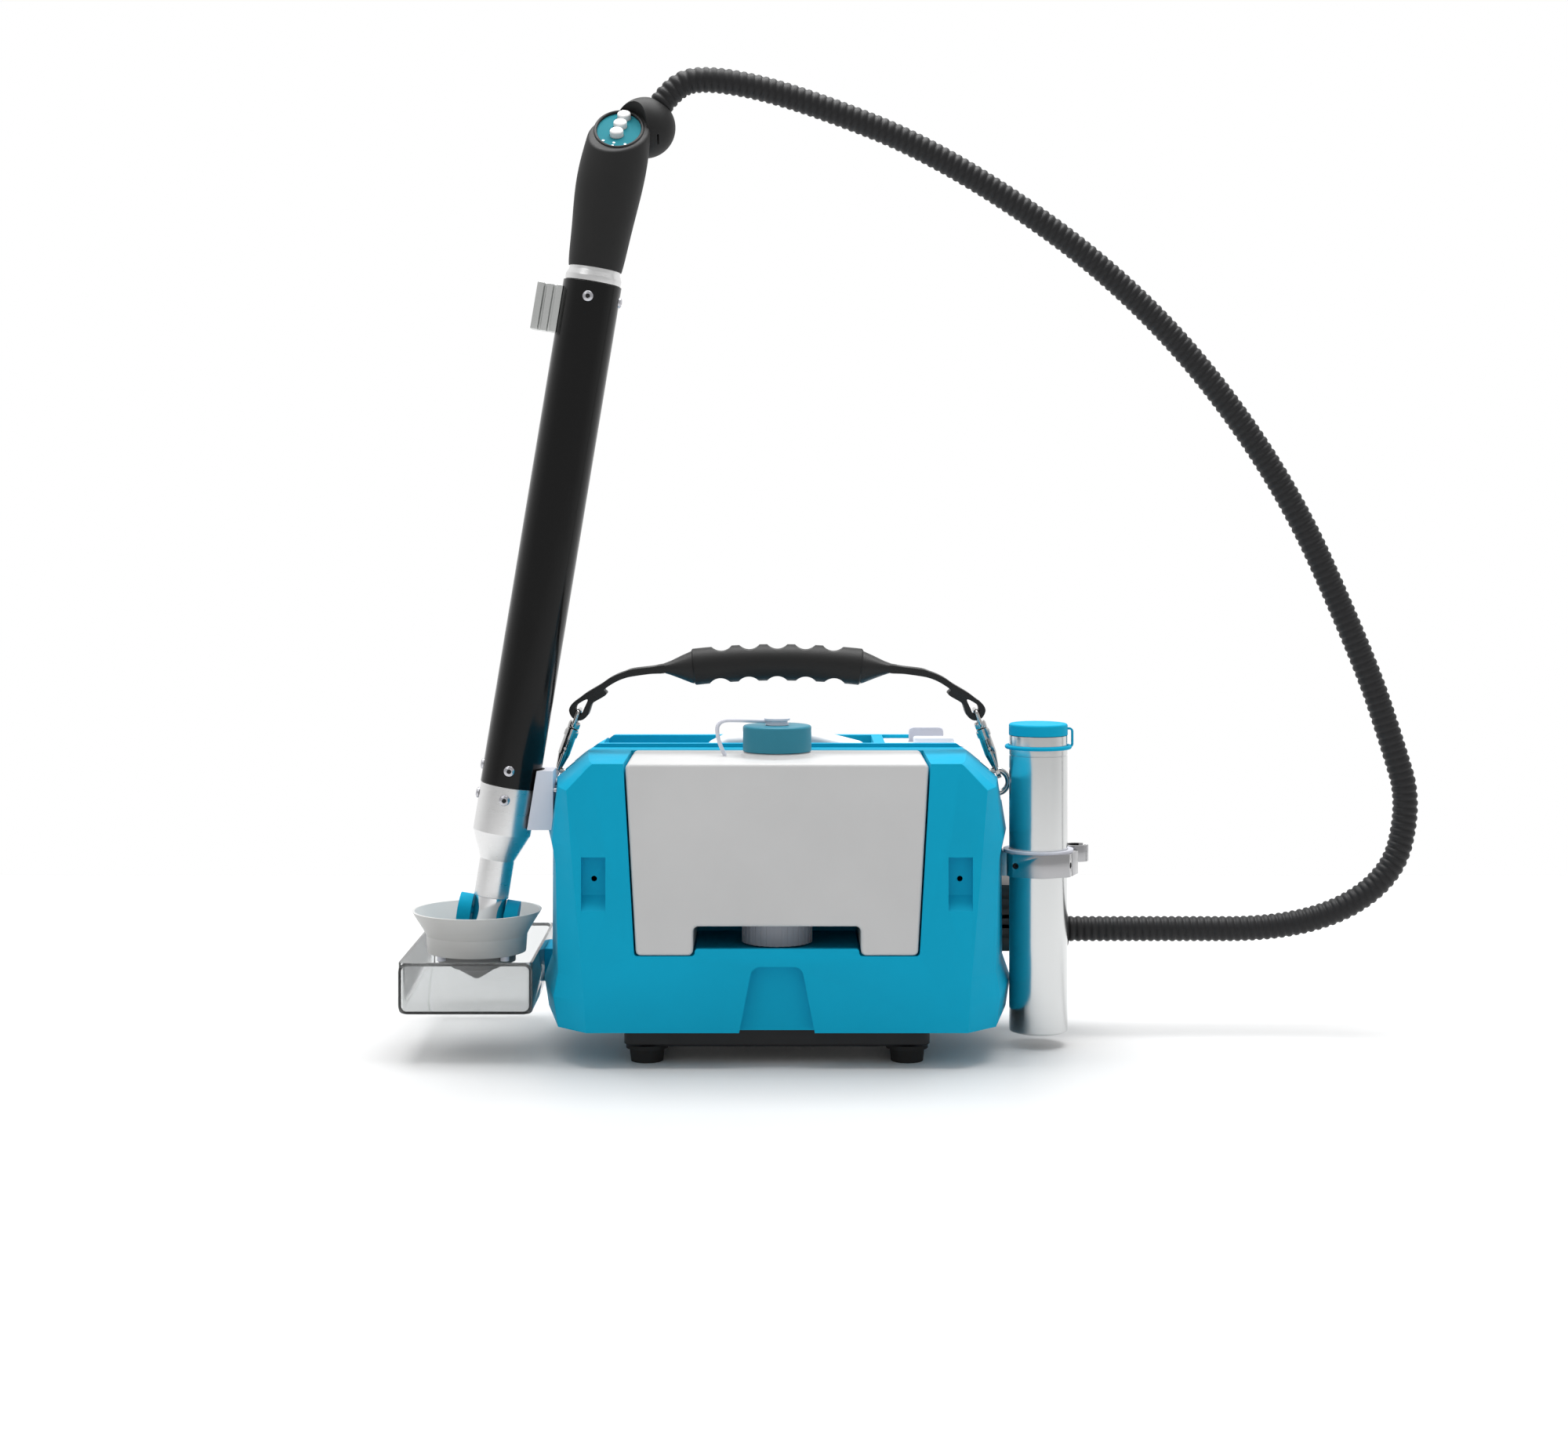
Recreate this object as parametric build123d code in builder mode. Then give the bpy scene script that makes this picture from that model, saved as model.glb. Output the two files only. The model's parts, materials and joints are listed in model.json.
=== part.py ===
"""Portable gum removal machine: housing with lift-out tank, heated lance, canister and ribbed hose.

Millimetres. X runs to the right, the front faces -Y, +Z is up. The origin is the middle of the
housing's footprint, on the plane of its four feet.
"""

import os
from math import atan2, cos, degrees, radians, sin, tan

from build123d import *

os.makedirs("parts", exist_ok=True)

# Fits
RUN_GAP = 0.4  # round a piece that turns or slides
SEAT_GAP = 0.3  # under a piece that rests on another body
BAY_GAP = 1.4  # each side of the tank in its bay
SLOT_GAP = 0.7  # each side of the battery in its slot
PIN_FIT = 0.05  # round pins and screws

# Housing
HOUSING_HALF = 198.0  # half width at mid depth, just above the base
HALF_DEPTH = 115.0
CORNER_Y = 90.0  # where the side facets meet the corner facets
BASE_Z = 29.7  # underside of the housing
REAR_TOP_Z = 254.0
FRONT_TOP_Z = 250.8
STEP_Y = 34.0  # the top steps up from front to rear here
WALL = 4.0
LEVELS = (BASE_Z, 55.0, 75.0, 165.0, 183.0, 229.0, 248.0, REAR_TOP_Z)
MID_STEPS = (0.0, 4.0, -3.0, -3.5, 0.5, -7.0, -30.0, -38.0)  # added to HOUSING_HALF
CORNER_STEPS = (-16.0, -12.0, -16.0, -14.0, -11.0, -16.0, -38.0, -46.0)
FACE_STEPS = (-41.0, -39.5, -38.0, -30.0, -28.5, -25.0, -43.0, -50.0)
BASE_HOLE = (118.0, 88.0)  # half sizes of the opening over the base pan

# Tank and its bay
TANK_TOP_HALF = 125.0
TANK_FOOT_HALF = 116.0
TANK_TOP_Z = 251.0
TANK_FOOT_Z = 93.0
TANK_BACK_Y = -3.0
TANK_WALL = 3.0
NOTCH_HALF = 69.0
NOTCH_TOP_Z = 117.0
SHELF_Z = 94.6  # floor of the shelf under the notch
SHELF_LIP_Z = 98.6
SHELF_LIP = 6.0
CAP_Y = -50.0
CAP_R = 29.0
CAP_TOP_Z = 277.0
CAP_H = 21.5
FILL_NECK_R = 26.0
FILL_BORE_R = 22.5
PLUG_R = 10.8
PLUG_STEM_R = 8.0
OUTLET_Y = -60.0
OUTLET_R = 29.0
OUTLET_BOTTOM_Z = 96.0
OUTLET_NECK_R = 24.5
VALVE_R = 3.0

# Front pockets and finger arch
POCKET_X = 151.0
POCKET_W = 20.0
POCKET_Z = (129.5, 174.0)
POCKET_DEPTH = 11.0
POCKET_HOLE_R = 2.4
POCKET_HOLE_Z = 155.0
ARCH_TOP_Z = 84.0
ARCH_TOP_HALF = 20.5
ARCH_FOOT_HALF = 31.5
ARCH_DEPTH = 12.0

# Top tray and battery
TRAY_X = (-153.0, 85.0)
TRAY_Y = (STEP_Y, 106.0)
TRAY_FLOOR_Z = 218.0
BATTERY_X = (95.5, 164.0)
BATTERY_Y = (35.0, 108.0)
BATTERY_H = 100.0
BATTERY_TOP_Z = 251.0
LEVER_Y = 80.0
LEVER_W = 31.0
LEVER_X = 133.5
LEVER_TOP_Z = 264.0

# Base and feet
PAN_HALF = (127.0, 97.0)
PAN_BOTTOM_Z = 14.5
FOOT_X = 108.5
FOOT_Y = 80.0
FOOT_R = 13.4

# Carry handle
RING_X = 190.3
RING_Z = 223.6
RING_R = 10.0  # to the middle of the wire
RING_WIRE = 5.0
RING_PIN_R = 2.0
GRIP_END_X = 73.0
GRIP_END_Z = 323.0
GRIP_MID_Z = 327.0
GRIP_R = 15.8
SCALLOP_PITCH = 24.5
SCALLOP_R = 11.0
SCALLOP_DEPTH = 4.5
STRAP_T = 5.9
STRAP_W = 22.0
EYE_X = 171.5  # middle of the strap's end loop
EYE_Z = 285.5

# Lance: its axis leans to the right, and t runs up along it from the foot of the black tube
LANCE_LEAN = 9.4
LANCE_Y = -34.0
LANCE_FOOT = (-228.4, LANCE_Y, 224.6)
TUBE_R = 25.0
TUBE_WALL = 2.5
TUBE_L = 434.0
GRIP_T = 446.5  # foot of the moulded handle
PIVOT_T = -110.3  # yoke pins
ROLL_T = -147.7  # pins between yoke and head
SLEEVE_R = 13.5
HEAD_X = -256.3
CUP_RIM_R = 55.2
CUP_RIM_Z = 118.3
CUP_WAIST_R = 42.9
CUP_WAIST_Z = 97.8
CUP_FOOT_R = 41.8
CUP_FOOT_Z = 83.2
CUP_WALL = 2.4
CONE_TIP_Z = 57.0
BALL_CENTRE = (-114.4, LANCE_Y + 28.0, 789.8)
BALL_R = 26.4
PAD_CENTRE = (-135.1, LANCE_Y, 784.4)
PAD_TILT = 50.8  # how far the touch panel faces up from level
PAD_HALF = (19.5, 28.6)
BUTTON_R = 5.9
BUTTON_TRAVEL = 1.5
BUTTONS = ((3.4, 20.5), (0.8, 6.5), (-1.6, -7.5))
LIGHTS = ((-12.5, -17.0), (-3.3, -20.5), (6.3, -23.0), (-4.3, -25.2))

# Drip tray
DRIP_X = (-314.7, -203.0)
DRIP_Y = (-95.0, 107.0)
DRIP_Z = (40.5, 83.5)
DRIP_WALL = 2.5

# Canister, its clamp and the hose clip
CAN_X = 224.3
CAN_Y = -20.0
CAN_R = 25.0
CAN_WALL = 1.5
CAN_Z = (12.3, 266.0)
CAN_CAP_TOP_Z = 276.0
CLAMP_Z = (147.0, 166.5)
CLAMP_R = 32.5
CLAMP_CORNER_R = 34.2  # the clamp is eight-sided, with a corner to the front
CLAMP_SCREWS = (-131.0, -40.0)
LINER_T = 1.8
CLIP_X = 259.5
CLIP_Y = 2.0
CLIP_R = 10.5
CLIP_Z = (155.0, 169.0)

# Hose and its port
PORT_X = (183.0, 251.0)
PORT_Y = (25.0, 80.0)
PORT_Z = (72.0, 130.0)
HOSE_R = 11.1  # over the crests
HOSE_VALLEY_R = 10.0
HOSE_BORE_R = 8.0
HOSE_RIBS = 64
FLANGE_R = 15.0
HOSE_POINTS = [
    (257.05, 50.0, 87.5),
    (330.0, 50.0, 87.5),
    (466.0, 50.0, 87.4),
    (544.4, 49.0, 129.4),
    (560.3, 47.5, 199.3),
    (544.6, 45.5, 251.7),
    (519.4, 43.5, 326.3),
    (443.6, 37.0, 493.6),
    (319.4, 29.0, 649.8),
    (150.6, 17.0, 767.8),
    (14.2, 8.0, 820.3),
    (-63.4, 0.0, 835.5),
    (-93.6, -4.0, 824.0),
    (-111.8, -6.0, 793.2),
]


def block(x, y, z, mode=Mode.ADD):
    """A box between two values of x, y and z, in the part that is being built."""
    low, high = (x[0], y[0], z[0]), (x[1], y[1], z[1])
    middle = [(a + b) / 2 for a, b in zip(low, high)]
    with Locations(tuple(middle)):
        Box(*(b - a for a, b in zip(low, high)), mode=mode)


def save(part, label):
    part.label = label
    export_step(part, f"parts/{label}.step")


def outline_on(plane, points):
    """A closed outline of straight lines on a plane."""
    with BuildSketch(plane) as outline:
        with BuildLine():
            Polyline(*points, close=True)
        make_face()
    return outline.sketch


def front_plane(y):
    """The plane that faces the front at this depth, with its own y axis up."""
    return Plane.XZ.offset(-y)


# Housing: five sections from front to rear, joined by flat facets


def housing_outline(steps, inset):
    """Half widths at each level, to the right and then mirrored, drawn in by inset."""
    low, high = LEVELS[0] + inset, LEVELS[-1] - inset
    levels = [min(max(z, low), high) for z in LEVELS]
    right = [(HOUSING_HALF + s - inset, z) for s, z in zip(steps, levels)]
    return right + [(-x, z) for x, z in reversed(right)]


def housing_sections(inset):
    """Each section's depth and outline."""
    face_y = HALF_DEPTH - inset
    corner_y = CORNER_Y - inset / 2
    return [
        (-face_y, housing_outline(FACE_STEPS, inset)),
        (-corner_y, housing_outline(CORNER_STEPS, inset)),
        (0.0, housing_outline(MID_STEPS, inset)),
        (corner_y, housing_outline(CORNER_STEPS, inset)),
        (face_y, housing_outline(FACE_STEPS, inset)),
    ]


bay_top_half = TANK_TOP_HALF + BAY_GAP
bay_foot_half = TANK_FOOT_HALF + BAY_GAP
bay_floor_z = TANK_FOOT_Z - SEAT_GAP
bay_back_y = TANK_BACK_Y + 1.0
shelf_half = NOTCH_HALF - BAY_GAP
slot_x = (BATTERY_X[0] - SLOT_GAP, BATTERY_X[1] + SLOT_GAP)
slot_y = (BATTERY_Y[0] - SLOT_GAP, BATTERY_Y[1] + SLOT_GAP)
battery_foot_z = BATTERY_TOP_Z - BATTERY_H
slot_floor_z = battery_foot_z - SEAT_GAP
ring_slot_x = RING_X - RING_R - RING_WIRE / 2 - 2.5
ring_slot_half_y = 13.0
ring_slot_z = (RING_Z - 16.0, RING_Z + 18.0)
pin_x = RING_X - RING_R + RING_WIRE / 2 + RING_PIN_R + RUN_GAP
port_seat_x = PORT_X[0]
clamp_seat_x = CAN_X - CLAMP_R - 2.0
clamp_seat_y = (CAN_Y - 14.0, CAN_Y + 14.0)
drip_boss_y = (14.0, 62.0)
drip_boss_z = (48.0, 76.0)
drip_screw_y = (23.0, 53.0)
drip_screw_z = 62.0
bracket_seat_x = -190.0
bracket_y = (LANCE_Y - 16, LANCE_Y + 16)
bracket_z = (188.0, 238.0)
bracket_screw_z = (bracket_z[0] + 9, bracket_z[1] - 17)
bracket_screw_y = (LANCE_Y - 11, LANCE_Y + 11)
socket_bore_r = 13.0

with BuildPart() as cavity:
    for y, outline in housing_sections(WALL):
        with BuildSketch(front_plane(y)):
            with BuildLine():
                Polyline(*outline, close=True)
            make_face()
    loft(ruled=True)
    bay_wall_x = bay_top_half + WALL
    block((-bay_wall_x, bay_wall_x), (-130, bay_back_y + WALL), (bay_floor_z - WALL, 300), Mode.SUBTRACT)
    block((-180, 200), (bay_back_y, 130), (FRONT_TOP_Z - WALL, 300), Mode.SUBTRACT)
    tray_hole_x = (TRAY_X[0] - WALL, TRAY_X[1] + WALL)
    slot_hole_x = (slot_x[0] - WALL, slot_x[1] + WALL)
    block(tray_hole_x, (TRAY_Y[0] - WALL, 130), (TRAY_FLOOR_Z - WALL, 300), Mode.SUBTRACT)
    block(slot_hole_x, (slot_y[0] - WALL, 130), (slot_floor_z - WALL, 300), Mode.SUBTRACT)
    for side in (-1, 1):
        pocket_x = sorted((side * (POCKET_X - POCKET_W / 2 - WALL), side * (POCKET_X + POCKET_W / 2 + WALL)))
        block(pocket_x, (-130, -HALF_DEPTH + POCKET_DEPTH + WALL),
              (POCKET_Z[0] - WALL, POCKET_Z[1] + WALL), Mode.SUBTRACT)
        ring_x = sorted((side * (ring_slot_x - WALL), side * 220))
        block(ring_x, (-ring_slot_half_y - WALL, ring_slot_half_y + WALL),
              (ring_slot_z[0] - WALL, ring_slot_z[1] + WALL), Mode.SUBTRACT)
    block((-ARCH_FOOT_HALF - WALL, ARCH_FOOT_HALF + WALL), (-130, -HALF_DEPTH + ARCH_DEPTH + WALL),
          (0, ARCH_TOP_Z + WALL), Mode.SUBTRACT)
    block((port_seat_x - WALL, 220), (PORT_Y[0] - WALL, PORT_Y[1] + WALL),
          (PORT_Z[0] - WALL, PORT_Z[1] + WALL), Mode.SUBTRACT)
    block((clamp_seat_x - WALL, 220), (clamp_seat_y[0] - WALL, clamp_seat_y[1] + WALL),
          (CLAMP_Z[0] - WALL, CLAMP_Z[1] + WALL), Mode.SUBTRACT)
    block((-220, bracket_seat_x + WALL), (bracket_y[0] - WALL, bracket_y[1] + WALL),
          (bracket_z[0] - WALL, bracket_z[1] + WALL), Mode.SUBTRACT)

with BuildPart() as housing_shell:
    for y, outline in housing_sections(0.0):
        with BuildSketch(front_plane(y)):
            with BuildLine():
                Polyline(*outline, close=True)
            make_face()
    loft(ruled=True)
    block((-220, 220), (-130, STEP_Y - 8), (FRONT_TOP_Z, 300), Mode.SUBTRACT)
    # tank bay, open at the front and top, with the shelf between the tank's legs
    with BuildSketch(front_plane(-HALF_DEPTH - 5)):
        with BuildLine():
            Polyline((-bay_top_half - 0.3, REAR_TOP_Z + 2), (bay_top_half + 0.3, REAR_TOP_Z + 2),
                     (bay_foot_half, bay_floor_z), (shelf_half, bay_floor_z), (shelf_half, SHELF_LIP_Z),
                     (-shelf_half, SHELF_LIP_Z), (-shelf_half, bay_floor_z), (-bay_foot_half, bay_floor_z),
                     close=True)
        make_face()
        fillet([v for v in vertices() if v.Y < bay_floor_z + 1], 2.8)
        fillet([v for v in vertices() if abs(v.Y - SHELF_LIP_Z) < 0.1], 2.5)
    extrude(amount=-(HALF_DEPTH + 5 + bay_back_y), mode=Mode.SUBTRACT)
    shelf_y = (-HALF_DEPTH + SHELF_LIP, bay_back_y)
    block((-shelf_half, shelf_half), shelf_y, (SHELF_Z, SHELF_LIP_Z + 1), Mode.SUBTRACT)
    # top tray and battery slot
    block(TRAY_X, TRAY_Y, (TRAY_FLOOR_Z, 300), Mode.SUBTRACT)
    block(slot_x, slot_y, (slot_floor_z, 300), Mode.SUBTRACT)
    # front pockets, ramped out at the foot, each with a screw hole
    for side in (-1, 1):
        with BuildSketch(Plane.YZ.offset(side * POCKET_X - POCKET_W / 2)):
            with BuildLine():
                Polyline((-HALF_DEPTH - 5, POCKET_Z[1]), (-HALF_DEPTH + POCKET_DEPTH, POCKET_Z[1]),
                         (-HALF_DEPTH + POCKET_DEPTH, POCKET_Z[0] + 12), (-HALF_DEPTH, POCKET_Z[0]),
                         (-HALF_DEPTH - 5, POCKET_Z[0]), close=True)
            make_face()
        extrude(amount=POCKET_W, mode=Mode.SUBTRACT)
        # slots in the sides for the carry handle's rings
        slot_span = sorted((side * ring_slot_x, side * 220))
        block(slot_span, (-ring_slot_half_y, ring_slot_half_y), ring_slot_z, Mode.SUBTRACT)
    with BuildSketch(front_plane(-HALF_DEPTH)):
        with Locations((-POCKET_X, POCKET_HOLE_Z), (POCKET_X, POCKET_HOLE_Z)):
            Circle(POCKET_HOLE_R)
    extrude(amount=-POCKET_DEPTH - WALL - 1, mode=Mode.SUBTRACT)
    # finger arch at the foot of the front
    with BuildSketch(front_plane(-HALF_DEPTH - 1)):
        with BuildLine():
            Polyline((-ARCH_FOOT_HALF, BASE_Z - 2), (ARCH_FOOT_HALF, BASE_Z - 2),
                     (ARCH_TOP_HALF, ARCH_TOP_Z), (-ARCH_TOP_HALF, ARCH_TOP_Z), close=True)
        make_face()
        fillet([v for v in vertices() if v.Y > BASE_Z], 8.5)
    extrude(amount=-ARCH_DEPTH - 1, mode=Mode.SUBTRACT)
    # flat seats for what is bolted to the sides
    block((port_seat_x, 220), PORT_Y, PORT_Z, Mode.SUBTRACT)
    block((clamp_seat_x, 220), clamp_seat_y, CLAMP_Z, Mode.SUBTRACT)
    block((-220, bracket_seat_x), bracket_y, bracket_z, Mode.SUBTRACT)
    block((DRIP_X[1], -185), drip_boss_y, drip_boss_z)
    for y in drip_screw_y:
        with Locations((DRIP_X[1] + 6, y, drip_screw_z)):
            Cylinder(2 + PIN_FIT, 30, rotation=(0, 90, 0), mode=Mode.SUBTRACT)
    for z in bracket_screw_z:
        for y in bracket_screw_y:
            with Locations((bracket_seat_x, y, z)):
                Cylinder(2 + PIN_FIT, 20, rotation=(0, 90, 0), mode=Mode.SUBTRACT)
    # hole for the tank's valve, and the opening over the base pan
    with Locations((0, OUTLET_Y, SHELF_Z)):
        Cylinder(socket_bore_r, 20, mode=Mode.SUBTRACT)
    add(cavity.part, mode=Mode.SUBTRACT)
    base_hole_x, base_hole_y = (-BASE_HOLE[0], BASE_HOLE[0]), (-BASE_HOLE[1], BASE_HOLE[1])
    block(base_hole_x, base_hole_y, (BASE_Z - 1, BASE_Z + WALL + 1), Mode.SUBTRACT)
    # bores for the ring pins
    for side in (-1, 1):
        with Locations((side * pin_x, 0, RING_Z)):
            pin_hole_l = 2 * (ring_slot_half_y + 3)
            Cylinder(RING_PIN_R + PIN_FIT, pin_hole_l, rotation=(90, 0, 0), mode=Mode.SUBTRACT)
save(housing_shell.part, "housing_shell")

with BuildPart() as ring_pins:
    with Locations((-pin_x, 0, RING_Z), (pin_x, 0, RING_Z)):
        Cylinder(RING_PIN_R, 2 * (ring_slot_half_y + 3) - 0.2, rotation=(90, 0, 0))
save(ring_pins.part, "ring_pins")

# Base pan, feet and their screws

pan_wall = 3.0
boss_r = 17.5
foot_top_z = PAN_BOTTOM_Z
screw_head_z = 5.0
foot_screw_r = 2.5
foot_head_r = 5.0

with BuildPart() as base_pan:
    block((-PAN_HALF[0], PAN_HALF[0]), (-PAN_HALF[1], PAN_HALF[1]), (PAN_BOTTOM_Z, BASE_Z))
    fillet(base_pan.edges().filter_by(Axis.Z), 8)
    chamfer(base_pan.faces().sort_by(Axis.Z)[0].edges(), 2)
    rim = (BASE_HOLE[0] - 2, BASE_HOLE[1] - 2)
    block((-rim[0], rim[0]), (-rim[1], rim[1]), (PAN_BOTTOM_Z + pan_wall, BASE_Z + 1), Mode.SUBTRACT)
    with GridLocations(2 * FOOT_X, 2 * FOOT_Y, 2, 2):
        with Locations((0, 0, (PAN_BOTTOM_Z + BASE_Z) / 2)):
            Cylinder(7, BASE_Z - PAN_BOTTOM_Z)
            Cylinder(foot_screw_r + PIN_FIT, 40, mode=Mode.SUBTRACT)
save(base_pan.part, "base_pan")

with BuildPart() as feet:
    with BuildSketch(Plane.XY):
        with GridLocations(2 * FOOT_X, 2 * FOOT_Y, 2, 2):
            Circle(FOOT_R)
    extrude(amount=11, taper=-7)
    with BuildSketch(Plane.XY.offset(11)):
        with GridLocations(2 * FOOT_X, 2 * FOOT_Y, 2, 2):
            Circle(boss_r)
    extrude(amount=foot_top_z - 11)
    with GridLocations(2 * FOOT_X, 2 * FOOT_Y, 2, 2):
        with Locations((0, 0, screw_head_z / 2)):
            Cylinder(foot_head_r + 0.3, screw_head_z + 6, mode=Mode.SUBTRACT)
        with Locations((0, 0, foot_top_z / 2)):
            Cylinder(foot_screw_r + PIN_FIT, foot_top_z + 10, mode=Mode.SUBTRACT)
save(feet.part, "feet")

with BuildPart() as foot_screws:
    head_z = screw_head_z / 2 + (screw_head_z + 6) / 2
    with GridLocations(2 * FOOT_X, 2 * FOOT_Y, 2, 2):
        with Locations((0, 0, head_z - 1.5)):
            Cylinder(foot_head_r, 3)
        with Locations((0, 0, (head_z + BASE_Z) / 2)):
            Cylinder(foot_screw_r, BASE_Z - head_z)
save(foot_screws.part, "foot_screws")

# Pump, control board and water line inside the rear of the housing

pump_floor_z = PAN_BOTTOM_Z + pan_wall
pump_x = (-58.0, 12.0)
pump_y = (25.0, 85.0)

with BuildPart() as pump_head:
    block(pump_x, pump_y, (pump_floor_z, pump_floor_z + 62))
    fillet(pump_head.edges().filter_by(Axis.X), 6)
    with Locations((-23, 40, pump_floor_z + 70)):
        Cylinder(5, 16)
save(pump_head.part, "pump_head")

with BuildPart() as pump_motor:
    with Locations((pump_x[1] + 40, 55, pump_floor_z + 31)):
        Cylinder(22, 80, rotation=(0, 90, 0))
        Cylinder(24, 30, rotation=(0, 90, 0))
    block((pump_x[1] + 15, pump_x[1] + 65), (38, 72), (pump_floor_z, pump_floor_z + 14))
save(pump_motor.part, "pump_motor")

with BuildPart() as control_board:
    block((-98, -64), (84, 85.6), (pump_floor_z, 130))
    for z in (45, 75, 105):
        block((-92, -72), (72, 84), (z, z + 16))
    with Locations((-68, 80, pump_floor_z + 5), (-94, 80, pump_floor_z + 5)):
        Box(6, 8, 10)
save(control_board.part, "control_board")

socket_top_z = OUTLET_BOTTOM_Z - 0.4

with BuildPart() as tank_socket:
    with Locations((0, OUTLET_Y, 0)):
        with BuildSketch(Plane.XZ.offset(-OUTLET_Y)):
            with BuildLine():
                Polyline((0, SHELF_Z - 22), (6, SHELF_Z - 22), (6, SHELF_Z - 12),
                         (socket_bore_r - 0.2, SHELF_Z - 12), (socket_bore_r - 0.2, SHELF_Z),
                         (18, SHELF_Z), (18, socket_top_z), (VALVE_R, socket_top_z),
                         (VALVE_R, OUTLET_BOTTOM_Z + 4), (0, OUTLET_BOTTOM_Z + 6), close=True)
            make_face()
        revolve(axis=Axis((0, OUTLET_Y, 0), (0, 0, 1)))
save(tank_socket.part, "tank_socket")

line_r = 5.0
with BuildPart() as water_line:
    line_top = (0, OUTLET_Y, SHELF_Z - 22)
    with BuildLine() as line_path:
        line_low = [(0, OUTLET_Y, 50), (0, 0, 50), (-35, 10, 50), (-35, pump_y[0], 50)]
        FilletPolyline(line_top, *line_low, radius=10)
    with BuildSketch(Plane(origin=line_path.line @ 0, z_dir=line_path.line % 0)):
        Circle(line_r)
    sweep()
save(water_line.part, "water_line")

# Dome cover that stands in the top tray

dome_y = (46.0, 96.0)
with BuildPart() as dome_cover:
    with BuildSketch(front_plane(dome_y[1])):
        with BuildLine():
            Polyline((-64, TRAY_FLOOR_Z), (-64, 249), (-44, 258.5), (26, 262.5), (80, 249),
                     (80, TRAY_FLOOR_Z),
                     close=True)
        make_face()
        fillet([v for v in vertices() if v.Y > TRAY_FLOOR_Z + 1], 9)
    extrude(amount=dome_y[1] - dome_y[0])
    fillet(dome_cover.edges().filter_by(Axis.Z), 6)
save(dome_cover.part, "dome_cover")

# Water tank: an upside-down U with a filler neck on top and an outlet neck in the notch


def tank_outline(inset):
    top, foot = TANK_TOP_Z - inset, TANK_FOOT_Z + inset
    notch, notch_top = NOTCH_HALF + inset, NOTCH_TOP_Z + inset
    right = [(notch, notch_top), (notch, foot), (TANK_FOOT_HALF - inset, foot), (TANK_TOP_HALF - inset, top)]
    return right + [(-x, z) for x, z in reversed(right)]


with BuildPart() as tank:
    with BuildSketch(front_plane(TANK_BACK_Y)):
        with BuildLine():
            Polyline(*tank_outline(0.0), close=True)
        make_face()
        fillet(vertices(), 4.5)
    extrude(amount=HALF_DEPTH + TANK_BACK_Y)
    fillet(tank.faces().sort_by(Axis.Y)[0].edges(), 3)
    with BuildSketch(front_plane(TANK_BACK_Y - TANK_WALL)):
        with BuildLine():
            Polyline(*tank_outline(TANK_WALL), close=True)
        make_face()
        fillet(vertices(), 2)
    extrude(amount=HALF_DEPTH + TANK_BACK_Y - 2 * TANK_WALL, mode=Mode.SUBTRACT)
    neck_top_z = CAP_TOP_Z - 4.5
    with BuildSketch(front_plane(CAP_Y)):
        with BuildLine():
            Polyline((FILL_BORE_R, TANK_TOP_Z - TANK_WALL), (CAP_R + 2.5, TANK_TOP_Z - TANK_WALL),
                     (CAP_R + 2.5, TANK_TOP_Z), (CAP_R - 1, CAP_TOP_Z - CAP_H - 0.4),
                     (FILL_NECK_R, CAP_TOP_Z - CAP_H - 0.4), (FILL_NECK_R, neck_top_z),
                     (FILL_BORE_R, neck_top_z), close=True)
        make_face()
    revolve(axis=Axis((0, CAP_Y, 0), (0, 0, 1)))
    with Locations((0, CAP_Y, TANK_TOP_Z)):
        Cylinder(FILL_BORE_R, 60, mode=Mode.SUBTRACT)
    outlet_neck_z = OUTLET_BOTTOM_Z + 6
    with Locations((0, OUTLET_Y, (outlet_neck_z + NOTCH_TOP_Z + 1) / 2)):
        Cylinder(OUTLET_NECK_R, NOTCH_TOP_Z + 1 - outlet_neck_z)
    with Locations((0, OUTLET_Y, NOTCH_TOP_Z)):
        Cylinder(OUTLET_NECK_R - 3, 40, mode=Mode.SUBTRACT)
save(tank.part, "tank")

with BuildPart() as filler_cap:
    with Locations((0, CAP_Y, CAP_TOP_Z - CAP_H / 2)):
        Cylinder(CAP_R, CAP_H)
    fillet(filler_cap.edges().sort_by(Axis.Z)[-1], 2)
    with Locations((0, CAP_Y, CAP_TOP_Z - 4 - CAP_H / 2)):
        Cylinder(FILL_NECK_R + RUN_GAP, CAP_H, mode=Mode.SUBTRACT)
    with Locations((0, CAP_Y, CAP_TOP_Z)):
        Cylinder(PLUG_STEM_R + RUN_GAP, 20, mode=Mode.SUBTRACT)
save(filler_cap.part, "filler_cap")

plug_foot_z = CAP_TOP_Z + SEAT_GAP
with BuildPart() as vent_plug:
    with BuildSketch(front_plane(CAP_Y)):
        with BuildLine():
            Polyline((0, CAP_TOP_Z - 9), (PLUG_STEM_R, CAP_TOP_Z - 9), (PLUG_STEM_R, plug_foot_z),
                     (PLUG_R - 1, plug_foot_z), (PLUG_R - 1, plug_foot_z + 1.5), (PLUG_R - 2, plug_foot_z + 2),
                     (PLUG_R - 2, plug_foot_z + 3.4), (PLUG_R, plug_foot_z + 4), (PLUG_R, plug_foot_z + 5.7),
                     (0, plug_foot_z + 5.7), close=True)
        make_face()
    revolve(axis=Axis((0, CAP_Y, 0), (0, 0, 1)))
save(vent_plug.part, "vent_plug")

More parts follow.
